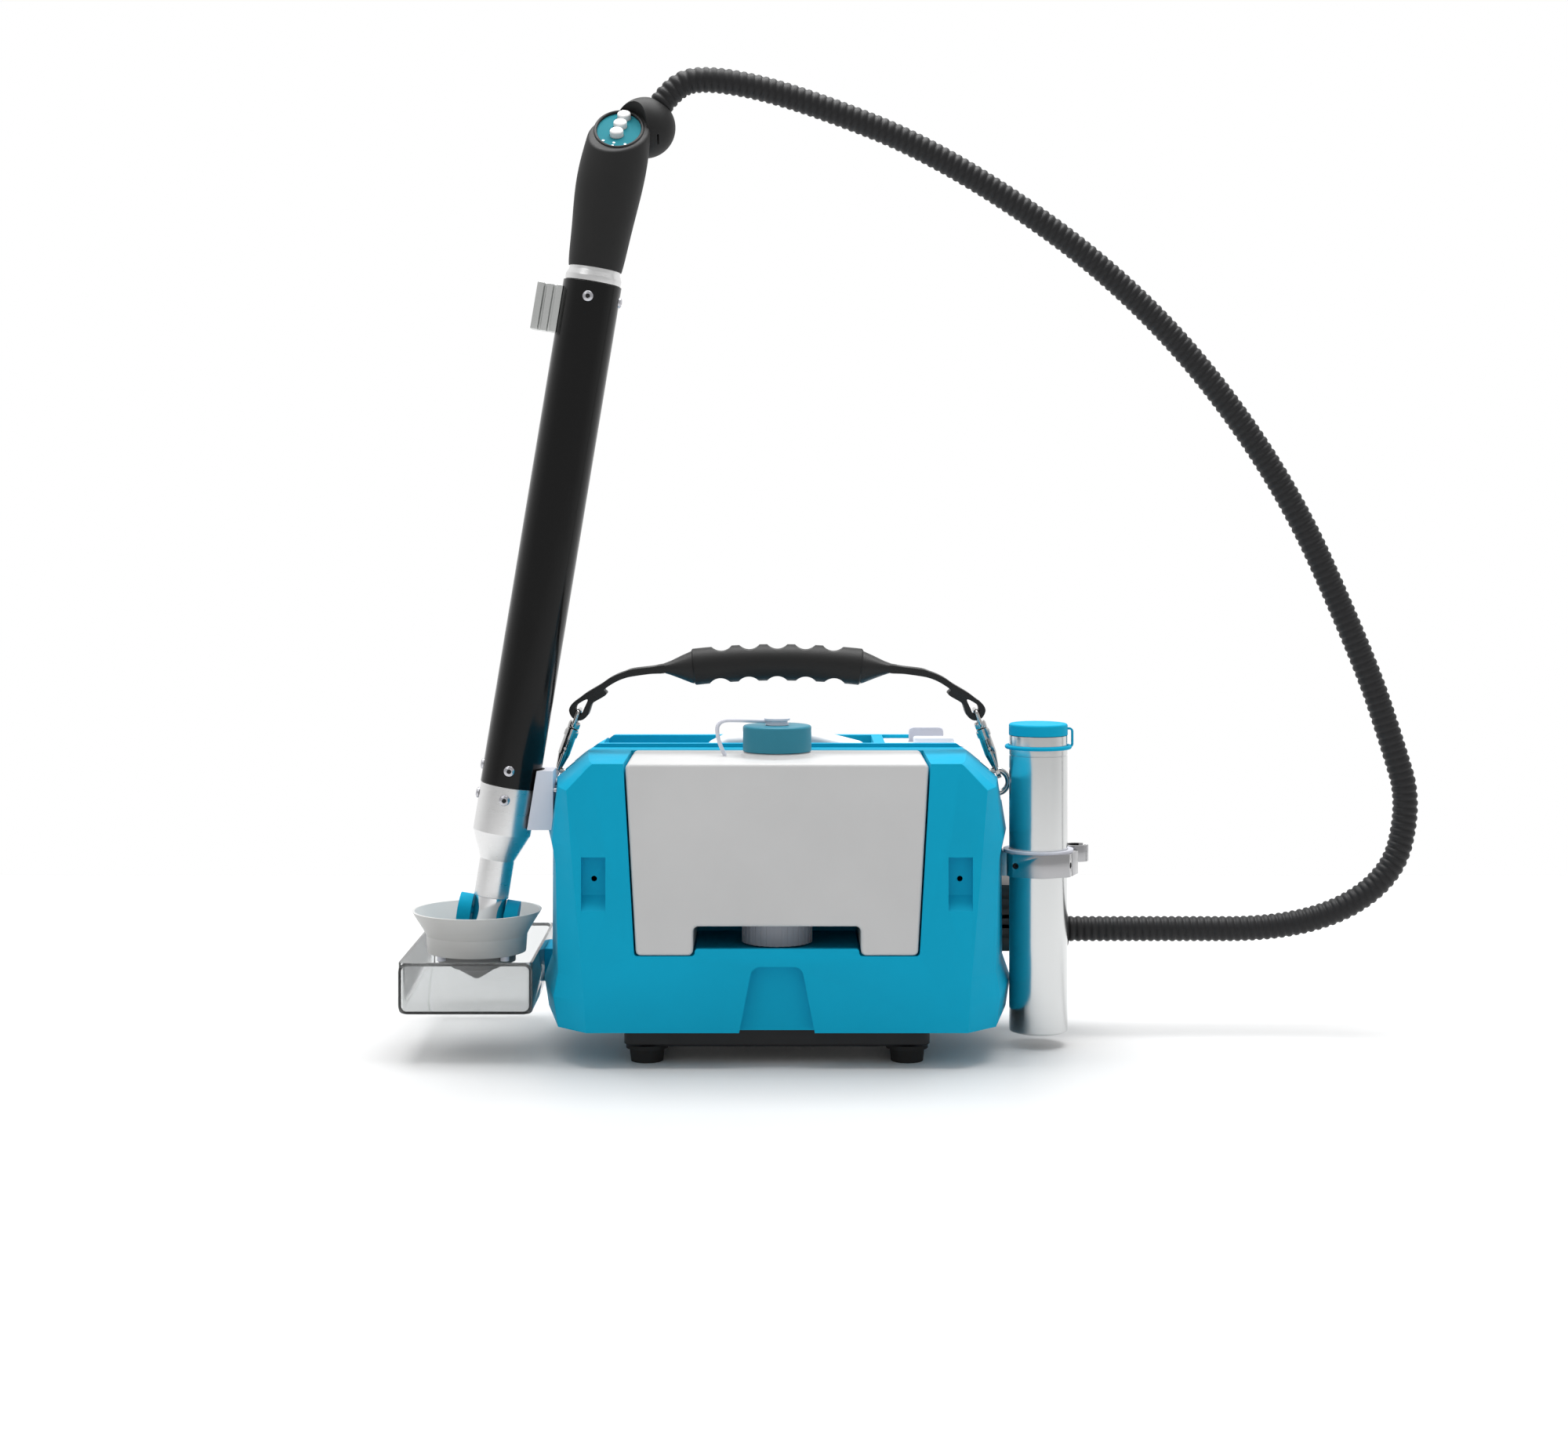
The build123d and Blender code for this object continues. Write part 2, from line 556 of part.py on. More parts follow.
tether_z = plug_foot_z + 2.7
with BuildPart() as vent_tether:
    with BuildSketch(front_plane(CAP_Y + 2.5)):
        with BuildLine() as tether_line:
            FilletPolyline((-PLUG_R + 2.0, tether_z), (-48, tether_z), (-49, 266), (-43, TANK_TOP_Z + 0.4),
                           radius=9)
        trace(line_width=1.4)
    extrude(amount=5)
save(vent_tether.part, "vent_tether")

outlet_top_z = NOTCH_TOP_Z - 1.5
with BuildPart() as outlet_cap:
    with BuildSketch(Plane.XY.offset(OUTLET_BOTTOM_Z)):
        with Locations((0, OUTLET_Y)):
            Circle(OUTLET_R)
            with PolarLocations(OUTLET_R, 36):
                Rectangle(1.4, 2.2)
    extrude(amount=outlet_top_z - OUTLET_BOTTOM_Z)
    with Locations((0, OUTLET_Y, OUTLET_BOTTOM_Z + 3 + 12)):
        Cylinder(OUTLET_NECK_R + RUN_GAP, 24, mode=Mode.SUBTRACT)
    with Locations((0, OUTLET_Y, OUTLET_BOTTOM_Z)):
        Cylinder(VALVE_R + 2, 10, mode=Mode.SUBTRACT)
save(outlet_cap.part, "outlet_cap")

# Battery pack with its release lever

block_x = (121.0, 157.0)
block_y = (48.0, 62.0)
block_top_z = BATTERY_TOP_Z + 6.5
lever_base_z = BATTERY_TOP_Z - 5.0
lever_t = 7.0

with BuildPart() as battery_case:
    block(BATTERY_X, BATTERY_Y, (battery_foot_z, BATTERY_TOP_Z))
    fillet(battery_case.edges().filter_by(Axis.Z), 3)
    block((LEVER_X - LEVER_W / 2 - 1, LEVER_X + LEVER_W / 2 + 1), (LEVER_Y - 8, LEVER_Y + 8),
          (lever_base_z - 6, BATTERY_TOP_Z + 1), Mode.SUBTRACT)
    for side in (-1, 1):
        with Locations((LEVER_X + side * (LEVER_W / 2 + 2), LEVER_Y, lever_base_z)):
            Cylinder(2 + 0.05, 10, rotation=(0, 90, 0), mode=Mode.SUBTRACT)
save(battery_case.part, "battery_case")

with BuildPart() as battery_block:
    block(block_x, block_y, (BATTERY_TOP_Z, block_top_z))
    fillet(battery_block.edges().filter_by(Axis.Z), 3)
    fillet(battery_block.faces().sort_by(Axis.Z)[-1].edges(), 2)
save(battery_block.part, "battery_block")

with BuildPart() as charge_lights:
    with Locations((130.5, 40.5, BATTERY_TOP_Z + 0.3)):
        with GridLocations(3.4, 1, 5, 1):
            Cylinder(0.8, 0.6)
save(charge_lights.part, "charge_lights")

with BuildPart() as battery_lever:
    with BuildSketch(front_plane(LEVER_Y + lever_t / 2)):
        with Locations((LEVER_X, (lever_base_z - 3 + LEVER_TOP_Z) / 2)):
            RectangleRounded(LEVER_W, LEVER_TOP_Z - lever_base_z + 3, 2.9)
    extrude(amount=lever_t)
    fillet(battery_lever.edges().filter_by(Axis.X).group_by(Axis.Z)[-1], 2.5)
    with Locations((LEVER_X, LEVER_Y, lever_base_z)):
        Cylinder(2, LEVER_W + 8, rotation=(0, 90, 0))
save(battery_lever.part, "battery_lever")

# Carry handle: arched rubber grip, straps, and a snap hook and ring at each end

with BuildPart() as carry_grip:
    with BuildLine() as grip_line:
        ThreePointArc((-GRIP_END_X, 0, GRIP_END_Z), (0, 0, GRIP_MID_Z), (GRIP_END_X, 0, GRIP_END_Z))
    with BuildSketch(Plane(origin=grip_line.line @ 0, z_dir=grip_line.line % 0)):
        Circle(GRIP_R)
    sweep()
    chamfer(carry_grip.edges().filter_by(GeomType.CIRCLE), 1.2)
    for i in range(-2, 3):
        x = i * SCALLOP_PITCH
        mid_z = GRIP_MID_Z - (GRIP_MID_Z - GRIP_END_Z) * (x / GRIP_END_X) ** 2
        for up in (-1, 1):
            with Locations((x, 0, mid_z + up * (GRIP_R + SCALLOP_R - SCALLOP_DEPTH))):
                Cylinder(SCALLOP_R, 40, rotation=(90, 0, 0), mode=Mode.SUBTRACT)
save(carry_grip.part, "carry_grip")

strap_start_x = 99.0
strap_start_z = 320.8
with BuildPart() as right_strap:
    grip_end = grip_line.line @ 1
    end_tangent = grip_line.line % 1
    with BuildSketch(Plane(origin=grip_end, z_dir=end_tangent)):
        Circle(GRIP_R - 1.6)
    with BuildSketch(Plane(origin=(strap_start_x, 0, strap_start_z), x_dir=(0, 1, 0), z_dir=end_tangent)):
        Rectangle(STRAP_W, STRAP_T)
    loft()
    with BuildSketch(front_plane(STRAP_W / 2)):
        with BuildLine() as strap_line:
            FilletPolyline((strap_start_x - 1, strap_start_z), (131, 317.5), (152, 301.5), (167, 291.5),
                           radius=12)
        trace(line_width=STRAP_T)
        with BuildLine() as lap_line:
            Line((147.5, 298.5), (165.5, 287))
        trace(line_width=STRAP_T)
        with Locations((EYE_X, EYE_Z)):
            Circle(8.4)
        with Locations((EYE_X, EYE_Z)):
            Circle(4.2, mode=Mode.SUBTRACT)
    extrude(amount=STRAP_W)
with BuildPart() as carry_straps:
    add(right_strap.part)
    mirror(about=Plane.YZ)
save(carry_straps.part, "carry_straps")

hook_far = Vector(RING_X, 0, RING_Z + RING_R)  # the ring's top, where the jaw goes round it
hook_near = Vector(EYE_X, 0, EYE_Z)
hook_span = (hook_far - hook_near).length
hook_dir = (hook_far - hook_near).normalized()
hook_side = Plane(origin=hook_near, x_dir=(0, 1, 0), z_dir=hook_dir.cross(Vector(0, 1, 0)))
jaw_r = RING_WIRE / 2 + 1.7
rod = 3.4

with BuildPart() as right_ring:
    with Locations((RING_X, 0, RING_Z)):
        Torus(RING_R, RING_WIRE / 2, rotation=(90, 0, 0))
with BuildPart() as steel_rings:
    add(right_ring.part)
    mirror(about=Plane.YZ)
save(steel_rings.part, "steel_rings")

barrel_top = 17.0
barrel_foot = 40.0


def along_hook(distance):
    return Plane(origin=hook_near + hook_dir * distance, x_dir=(0, 1, 0), z_dir=hook_dir)


with BuildPart() as right_eye:
    eye_half = STRAP_W / 2 + rod / 2 + 0.6
    with BuildLine() as eye_line:
        near, far = hook_near, hook_near + hook_dir * 13
        side = Vector(0, eye_half, 0)
        FilletPolyline(near - side, far - side * 0.95, far + side * 0.95, near + side, radius=2.5, close=True)
    with BuildSketch(Plane(origin=eye_line.line @ 0, z_dir=eye_line.line % 0)):
        Circle(rod / 2)
    sweep()
    with BuildSketch(along_hook(12)):
        Circle(2.6)
    extrude(amount=barrel_top - 12)
with BuildPart() as swivel_eyes:
    add(right_eye.part)
    mirror(about=Plane.YZ)
save(swivel_eyes.part, "swivel_eyes")

jaw_outer_r = jaw_r + 3.4
shank_x = (jaw_r + jaw_outer_r) / 2
bolt_x = -(RING_WIRE / 2 + 0.4 + 1.5)
jaw_tip = hook_span - 0.6
with BuildPart() as right_hook:
    with BuildSketch(along_hook(barrel_top)):
        Ellipse(6.8, 5.2)
    extrude(amount=barrel_foot - barrel_top)
    with BuildSketch(hook_side.offset(rod / 2)):
        with Locations((0, -hook_span)):
            Circle(jaw_outer_r)
        with Locations((shank_x, -(hook_span + barrel_foot - 1) / 2)):
            Rectangle(3.4, hook_span - barrel_foot + 1)
        with Locations((0, -hook_span)):
            Circle(jaw_r, mode=Mode.SUBTRACT)
        with Locations((shank_x - 11.7, 10 - jaw_tip)):
            Rectangle(20, 20, mode=Mode.SUBTRACT)
    extrude(amount=-rod)
    with BuildSketch(along_hook(barrel_foot - 16)):
        with Locations((bolt_x, 0)):
            Circle(1.5 + PIN_FIT)
    extrude(amount=16.5, mode=Mode.SUBTRACT)
    with Locations(hook_side * Location((bolt_x - 3, -(barrel_foot - 8), 0))):
        Box(6, 11, 2.8, mode=Mode.SUBTRACT)
with BuildPart() as snap_hooks:
    add(right_hook.part)
    mirror(about=Plane.YZ)
save(snap_hooks.part, "snap_hooks")

with BuildPart() as hook_bolt_right:
    with BuildSketch(along_hook(barrel_foot - 9)):
        with Locations((bolt_x, 0)):
            Circle(1.5)
    extrude(amount=jaw_tip - 0.3 - barrel_foot + 9)
    with Locations(hook_side * Location((bolt_x - 2.5, -(barrel_foot - 5.5), 0), (0, 90, 0))):
        Cylinder(1.2, 5)
save(hook_bolt_right.part, "hook_bolt_right")

with BuildPart() as hook_bolt_left:
    add(hook_bolt_right.part.mirror(Plane.YZ))
save(hook_bolt_left.part, "hook_bolt_left")

# Lance: every turned piece shares one leaning axis

lean = radians(LANCE_LEAN)
lance_foot = Vector(*LANCE_FOOT)
lance_dir = Vector(sin(lean), 0, cos(lean))
lance_right = Vector(cos(lean), 0, -sin(lean))
lance_side = Plane(origin=lance_foot, x_dir=lance_right, z_dir=(0, -1, 0))
lance_axis = Axis(lance_foot, lance_dir)
tube_bore_r = TUBE_R - TUBE_WALL
plug_r = tube_bore_r - 0.1
bead_r = 4.75  # screw heads
bead_h = 2.7
bead_flat_r = TUBE_R - 0.5
shank_r = 2.5
front, left, rear, right = -90.0, 180.0, 90.0, 0.0
SCREWS = [(421.0, front), (421.0, rear), (421.0, right), (14.3, front), (14.3, left), (14.3, rear),
          (-10.7, front), (-10.7, left), (-10.7, rear)]


def across(t):
    """The plane across the lance at t: its x to the right, its y to the rear."""
    return Plane(origin=lance_foot + lance_dir * t, x_dir=lance_right, z_dir=lance_dir)


def turned(points, mode=Mode.ADD):
    """Turn an outline of radius and t round the lance's axis."""
    revolve(outline_on(lance_side, points), axis=lance_axis, mode=mode)


def disc_on(plane, radius):
    with BuildSketch(plane) as disc:
        Circle(radius)
    return disc.sketch


def slab_on(plane, middle, size):
    with BuildSketch(plane) as slab:
        with Locations(middle):
            Rectangle(*size)
    return slab.sketch


def screw_plane(t, turn, radius):
    """A plane that faces outwards on the lance at t, turned from the right towards the rear."""
    outward = lance_right * cos(radians(turn)) + Vector(0, 1, 0) * sin(radians(turn))
    return Plane(origin=lance_foot + lance_dir * t + outward * radius, x_dir=lance_dir, z_dir=outward)


def screw_holes(low, high):
    """Cut the spot faces and the holes of the screws between two values of t."""
    for t, turn in SCREWS:
        if low < t < high:
            spot = screw_plane(t, turn, bead_flat_r)
            extrude(disc_on(spot, bead_r + PIN_FIT), amount=6, mode=Mode.SUBTRACT)
            extrude(disc_on(spot, shank_r + PIN_FIT), amount=-7.5, mode=Mode.SUBTRACT)


with BuildPart() as lance_tube:
    turned([(tube_bore_r, 0), (TUBE_R, 0), (TUBE_R, TUBE_L), (tube_bore_r, TUBE_L)])
    screw_holes(0, TUBE_L)
save(lance_tube.part, "lance_tube")

with BuildPart() as nozzle_body:
    turned([(6, 24), (plug_r, 24), (plug_r, 0), (24.5, 0), (24.5, -40.4), (14.6, -64), (14.9, -96), (6, -96)])
    screw_holes(-30, 24)
save(nozzle_body.part, "nozzle_body")

with BuildPart() as polished_sleeve:
    turned([(3, -96), (SLEEVE_R, -96), (SLEEVE_R, -126), (6, -129), (6, -132), (3, -132)])
    for turn in (left, right):
        spot = screw_plane(PIVOT_T, turn, SLEEVE_R + 1)
        extrude(disc_on(spot, 3 + PIN_FIT), amount=-4.4, mode=Mode.SUBTRACT)
save(polished_sleeve.part, "polished_sleeve")

with BuildPart() as upper_collar:
    turned([(16, 408), (plug_r, 408), (plug_r, GRIP_T), (17, GRIP_T), (17, 475), (13, 475), (13, 432),
            (16, 432)])
    screw_holes(408, TUBE_L)
save(upper_collar.part, "upper_collar")

with BuildPart() as lance_screws:
    for t, turn in SCREWS:
        spot = screw_plane(t, turn, bead_flat_r)
        extrude(disc_on(spot, bead_r), amount=1.2)
        extrude(disc_on(spot.offset(1.2), bead_r), amount=bead_h - 1.2, taper=35)
        extrude(disc_on(spot, shank_r), amount=-7)
        extrude(disc_on(spot.offset(bead_h - 1.6), 1.6), amount=4, mode=Mode.SUBTRACT)
save(lance_screws.part, "lance_screws")

with BuildPart() as heater_core:
    turned([(0, 24), (plug_r, 24), (plug_r, 30), (9, 30), (9, 398), (plug_r, 398), (plug_r, 404), (0, 404)])
save(heater_core.part, "heater_core")

rail_t = (387.0, 427.5)
with BuildPart() as accessory_rail:
    rail_plane = across(rail_t[0])
    for middle, size in (((-28, 0), (8, 20)), ((-35.5, 0), (9, 9)), ((-42.5, 0), (6, 20))):
        extrude(slab_on(rail_plane, middle, size), amount=rail_t[1] - rail_t[0])
    for y in (-5, 5):
        extrude(slab_on(rail_plane, (-45.5, y), (2, 3)), amount=rail_t[1] - rail_t[0], mode=Mode.SUBTRACT)
    turned([(0, 380), (TUBE_R, 380), (TUBE_R, 450), (0, 450)], Mode.SUBTRACT)
save(accessory_rail.part, "accessory_rail")

# Moulded lance handle: a swelling body, a ball for the hose at its rear right and a sloping touch panel

pad_out = (0, -cos(radians(PAD_TILT)), sin(radians(PAD_TILT)))
pad_plane = Plane(origin=PAD_CENTRE, x_dir=(1, 0, 0), z_dir=pad_out)
panel_t = 1.2
rim_depth = 1.2
board_top = 9.4
board_t = 1.2
hose_dir = (Vector(*HOSE_POINTS[-2]) - Vector(*HOSE_POINTS[-1])).normalized()
GRIP_SECTIONS = ((GRIP_T, 22.8, 0.0), (471, 25.0, 0.0), (494, 26.8, 0.0), (520, 28.5, 0.4), (545, 28.0, 1.4),
                 (571, 25.1, 2.0), (597, 18.7, 2.0))


def oval_on(plane, half_x, half_y):
    with BuildSketch(plane) as oval:
        Ellipse(half_x, half_y)
    return oval.sketch


board_slabs = (((0, -5), (20, 34)), ((3, 17), (14, 10)))

with BuildPart() as lance_grip:
    for t, radius, shift in GRIP_SECTIONS:
        with BuildSketch(across(t)):
            with Locations((shift, 0)):
                Circle(radius)
    loft()
    extrude(slab_on(pad_plane, (0, 0), (140, 160)), amount=60, mode=Mode.SUBTRACT)
    fillet(lance_grip.edges().sort_by(Axis.Z)[-1], 3.5)
    with Locations(BALL_CENTRE):
        Sphere(BALL_R)
    extrude(oval_on(pad_plane, PAD_HALF[0] + 4.2, PAD_HALF[1] + 3.6), amount=60, mode=Mode.SUBTRACT)
    extrude(oval_on(pad_plane, *PAD_HALF), amount=-(rim_depth + panel_t), mode=Mode.SUBTRACT)
    for middle, size in board_slabs:
        extrude(slab_on(pad_plane, middle, (size[0] + 0.2, size[1] + 0.2)), amount=-(board_top + board_t),
                mode=Mode.SUBTRACT)
    for v, u in BUTTONS:
        with BuildSketch(pad_plane):
            with Locations((v, u)):
                Circle(BUTTON_R + 0.3)
        extrude(amount=-board_top, mode=Mode.SUBTRACT)
    socket = Plane(origin=Vector(*HOSE_POINTS[-1]), z_dir=hose_dir)
    extrude(disc_on(socket, HOSE_R + 0.5), amount=40, mode=Mode.SUBTRACT)
    turned([(0, GRIP_T - 5), (17.1, GRIP_T - 5), (17.1, 475.1), (0, 475.1)], Mode.SUBTRACT)
    block((BALL_CENTRE[0] + 11.5, BALL_CENTRE[0] + 13), (BALL_CENTRE[1] - 28, BALL_CENTRE[1] - 16),
          (773, 781), Mode.SUBTRACT)
save(lance_grip.part, "lance_grip")

with BuildPart() as touch_panel:
    panel_plane = pad_plane.offset(-rim_depth)
    extrude(oval_on(panel_plane, PAD_HALF[0] - 0.05, PAD_HALF[1] - 0.05), amount=-panel_t)
    with BuildSketch(panel_plane):
        with Locations(*BUTTONS):
            Circle(BUTTON_R + 0.3)
    extrude(amount=-panel_t, mode=Mode.SUBTRACT)
save(touch_panel.part, "touch_panel")

with BuildPart() as indicator_lights:
    with BuildSketch(panel_plane):
        with Locations(*LIGHTS):
            Circle(1.1)
    extrude(amount=0.5)
save(indicator_lights.part, "indicator_lights")

with BuildPart() as button_board:
    for middle, size in board_slabs:
        extrude(slab_on(pad_plane.offset(-board_top), middle, size), amount=-board_t)
    with BuildSketch(pad_plane.offset(-board_top)):
        with Locations(*BUTTONS[:2], BUTTONS[2]):
            Rectangle(4, 4)
    extrude(amount=0.6)
save(button_board.part, "button_board")

for number, (v, u) in enumerate(BUTTONS, start=1):
    spot = Plane(origin=pad_plane.from_local_coords((v, u, 0)), x_dir=(1, 0, 0), z_dir=pad_plane.z_dir)
    with BuildPart() as button:
        extrude(disc_on(spot.offset(-4.5), BUTTON_R), amount=6.3)
        fillet(button.faces().sort_by(Axis(spot.origin, spot.z_dir))[-1].edges(), 0.6)
        extrude(disc_on(spot.offset(-board_top + 0.6 + 0.4 + BUTTON_TRAVEL), 1.8), amount=3)
    save(button.part, f"button_{number}")

# Swivel yoke and the head with its splash cup

pivot = lance_foot + lance_dir * PIVOT_T
roll = lance_foot + lance_dir * ROLL_T
pin_r = 3.0
ear_in = SLEEVE_R + 0.8
ear_out = 25.5
bar_top = ROLL_T + 11
bar_t = 5.0
lug_y = 23.0
head_axis = Axis((HEAD_X, LANCE_Y, 0), (0, 0, 1))
disc_r = 33.0
disc_top_z = CUP_FOOT_Z
disc_foot_z = 75.0
well_r = 27.5
well_floor_z = 73.5

with BuildPart() as yoke:
    for side in (-1, 1):
        ear_plane = screw_plane(PIVOT_T, right if side > 0 else left, ear_in)
        extrude(disc_on(ear_plane, 13.5), amount=ear_out - ear_in)
        leg = [(side * ear_in, PIVOT_T), (side * ear_out, PIVOT_T), (side * ear_out, PIVOT_T - 16),
               (side * 20, bar_top), (side * 20, bar_top - bar_t), (0, bar_top - bar_t), (0, bar_top),
               (side * ear_in, bar_top)]
        extrude(outline_on(lance_side.offset(9), leg), amount=-18)
        extrude(disc_on(screw_plane(PIVOT_T, right if side > 0 else left, SLEEVE_R - 3), pin_r), amount=8)
    extrude(slab_on(across(bar_top - bar_t), (0, 0), (13, 2 * lug_y)), amount=bar_t)
    for side in (-1, 1):
        lug = Plane(origin=(roll.X, LANCE_Y + side * lug_y, roll.Z), x_dir=lance_right, z_dir=(0, side, 0))
        extrude(disc_on(lug, 4.6), amount=-5)
        extrude(disc_on(lug.offset(-1), pin_r), amount=9)
        extrude(slab_on(lug, (0, -side * 3.5), (9.2, 7)), amount=-5)
save(yoke.part, "yoke")

cup_plane = Plane(origin=(HEAD_X, LANCE_Y, 0), x_dir=(1, 0, 0), z_dir=(0, -1, 0))
with BuildPart() as splash_cup:
    cup_points = [(30, CUP_FOOT_Z), (CUP_FOOT_R, CUP_FOOT_Z), (CUP_WAIST_R, CUP_WAIST_Z),
                  (CUP_WAIST_R + 3.2, CUP_WAIST_Z + 6), (CUP_RIM_R, CUP_RIM_Z), (CUP_RIM_R - CUP_WALL, CUP_RIM_Z),
                  (CUP_WAIST_R + 3.2 - CUP_WALL, CUP_WAIST_Z + 7), (CUP_WAIST_R - CUP_WALL, CUP_WAIST_Z + 0.5),
                  (CUP_FOOT_R - CUP_WALL, CUP_FOOT_Z + CUP_WALL), (30, CUP_FOOT_Z + CUP_WALL)]
    revolve(outline_on(cup_plane, cup_points), axis=head_axis)
save(splash_cup.part, "splash_cup")

with BuildPart() as cutter_base:
    cone_points = [(0, well_floor_z), (well_r, well_floor_z), (well_r, disc_top_z), (disc_r, disc_top_z),
                   (disc_r, disc_foot_z), (31, disc_foot_z), (22, 67.5), (17, 65.5), (2.5, CONE_TIP_Z),
                   (0, CONE_TIP_Z)]
    revolve(outline_on(cup_plane, cone_points), axis=head_axis)
    with Locations((roll.X, LANCE_Y, roll.Z)):
        Cylinder(pin_r + PIN_FIT, 63, rotation=(90, 0, 0), mode=Mode.SUBTRACT)
    with Locations((HEAD_X, LANCE_Y, 66)):
        with PolarLocations(27, 4, start_angle=45):
            Sphere(7, mode=Mode.SUBTRACT)
save(cutter_base.part, "cutter_base")

with BuildPart() as glides:
    with Locations((HEAD_X, LANCE_Y, CUP_FOOT_Z - 2)):
        with PolarLocations(37.8, 4, start_angle=45):
            Cylinder(3.6, 4)
save(glides.part, "glides")

# Lance bracket on the housing's left side

pad_in_r = TUBE_R + 0.35
pad_out_r = TUBE_R + 2.3
with BuildPart() as lance_bracket:
    with BuildSketch(front_plane(bracket_y[1])):
        with BuildLine():
            Polyline((bracket_seat_x, bracket_z[0]), (-214.0, bracket_z[0]), (-205.8, bracket_z[1]),
                     (bracket_seat_x, bracket_z[1]), close=True)
        make_face()
    extrude(amount=bracket_y[1] - bracket_y[0])
    turned([(0, -60), (pad_out_r, -60), (pad_out_r, 60), (0, 60)], Mode.SUBTRACT)
    for z in bracket_screw_z:
        for y in bracket_screw_y:
            with Locations((-200, y, z)):
                Cylinder(2 + PIN_FIT, 40, rotation=(0, 90, 0), mode=Mode.SUBTRACT)
            with Locations((-211.5, y, z)):
                Cylinder(3.6, 24, rotation=(0, 90, 0), mode=Mode.SUBTRACT)
save(lance_bracket.part, "lance_bracket")

with BuildPart() as bracket_pad:
    turned([(pad_in_r, -60), (pad_out_r, -60), (pad_out_r, 60), (pad_in_r, 60)])
    with BuildSketch(front_plane(bracket_y[1] - 4)):
        with BuildLine():
            Polyline((bracket_seat_x, bracket_z[0]), (-224.0, bracket_z[0]), (-215.8, bracket_z[1]),
                     (bracket_seat_x, bracket_z[1]), close=True)
        make_face()
    extrude(amount=bracket_y[1] - bracket_y[0] - 8, mode=Mode.INTERSECT)
    for z in bracket_screw_z:
        for y in bracket_screw_y:
            with Locations((-215, y, z)):
                Cylinder(3.6, 24, rotation=(0, 90, 0), mode=Mode.SUBTRACT)
save(bracket_pad.part, "bracket_pad")

with BuildPart() as bracket_screws:
    for z in bracket_screw_z:
        for y in bracket_screw_y:
            with Locations((-200.8, y, z)):
                Cylinder(3.4, 2.6, rotation=(0, 90, 0))
            with Locations((-193.5, y, z)):
                Cylinder(2, 12, rotation=(0, 90, 0))
save(bracket_screws.part, "bracket_screws")

# Clear drip tray, screwed to the boss low on the housing's left side

with BuildPart() as drip_tray:
    block(DRIP_X, DRIP_Y, DRIP_Z)
    fillet(drip_tray.edges().filter_by(Axis.Z), 6)
    fillet(drip_tray.faces().sort_by(Axis.Z)[0].edges(), 4)
    with BuildSketch(Plane.XY.offset(DRIP_Z[0] + DRIP_WALL)):
        with Locations(((DRIP_X[0] + DRIP_X[1]) / 2, (DRIP_Y[0] + DRIP_Y[1]) / 2)):
            RectangleRounded(DRIP_X[1] - DRIP_X[0] - 2 * DRIP_WALL, DRIP_Y[1] - DRIP_Y[0] - 2 * DRIP_WALL, 4)
    extrude(amount=DRIP_Z[1], mode=Mode.SUBTRACT)
    for y in drip_screw_y:
        with Locations((DRIP_X[1], y, drip_screw_z)):
            Cylinder(2 + PIN_FIT, 12, rotation=(0, 90, 0), mode=Mode.SUBTRACT)
save(drip_tray.part, "drip_tray")

with BuildPart() as tray_screws:
    for y in drip_screw_y:
        with Locations((DRIP_X[1] - DRIP_WALL - 1, y, drip_screw_z)):
            Cylinder(4, 2, rotation=(0, 90, 0))
        with Locations((DRIP_X[1] + 4, y, drip_screw_z)):
            Cylinder(2, 13, rotation=(0, 90, 0))
save(tray_screws.part, "tray_screws")

# Detergent canister in its clamp

with BuildPart() as canister:
    with Locations((CAN_X, CAN_Y, (CAN_Z[0] + CAN_Z[1]) / 2)):
        Cylinder(CAN_R, CAN_Z[1] - CAN_Z[0])
    fillet(canister.edges().sort_by(Axis.Z)[0], 3)
    with Locations((CAN_X, CAN_Y, CAN_Z[0] + 2 + (CAN_Z[1] - CAN_Z[0]) / 2)):
        Cylinder(CAN_R - CAN_WALL, CAN_Z[1] - CAN_Z[0], mode=Mode.SUBTRACT)
save(canister.part, "canister")

with BuildPart() as canister_cap:
    with Locations((CAN_X, CAN_Y, (CAN_Z[1] + SEAT_GAP + CAN_CAP_TOP_Z) / 2)):
        Cylinder(CAN_R + 0.2, CAN_CAP_TOP_Z - CAN_Z[1] - SEAT_GAP)
    fillet(canister_cap.edges().sort_by(Axis.Z)[-1], 2)
    with Locations((CAN_X, CAN_Y, CAN_Z[1] + 2 - 5)):
        Cylinder(CAN_R - CAN_WALL - 0.4, 10)
save(canister_cap.part, "canister_cap")

tether_r = 1.7
ring_z = 256.0
with BuildPart() as cap_tether:
    with Locations((CAN_X, CAN_Y, ring_z)):
        Torus(CAN_R + tether_r + 0.3, tether_r)
    with BuildSketch(front_plane(CAN_Y + 1.5)):
        with BuildLine():
            loop_x = CAN_X + CAN_R + 4.2
            FilletPolyline((CAN_X + CAN_R + 1.5, ring_z), (loop_x, ring_z), (loop_x, 271.5),
                           (CAN_X + CAN_R + 0.4, 271.5), radius=2.6)
        trace(line_width=1.8)
    extrude(amount=3)
save(cap_tether.part, "cap_tether")

liner_in_r = CAN_R + 0.35
liner_out_r = liner_in_r + LINER_T
clamp_in_r = liner_out_r + 0.1
clip_turn = atan2(CLIP_Y - CAN_Y, CLIP_X - CAN_X)
clip_neck = (CAN_X + CLAMP_R * cos(clip_turn), CAN_Y + CLAMP_R * sin(clip_turn), 0)


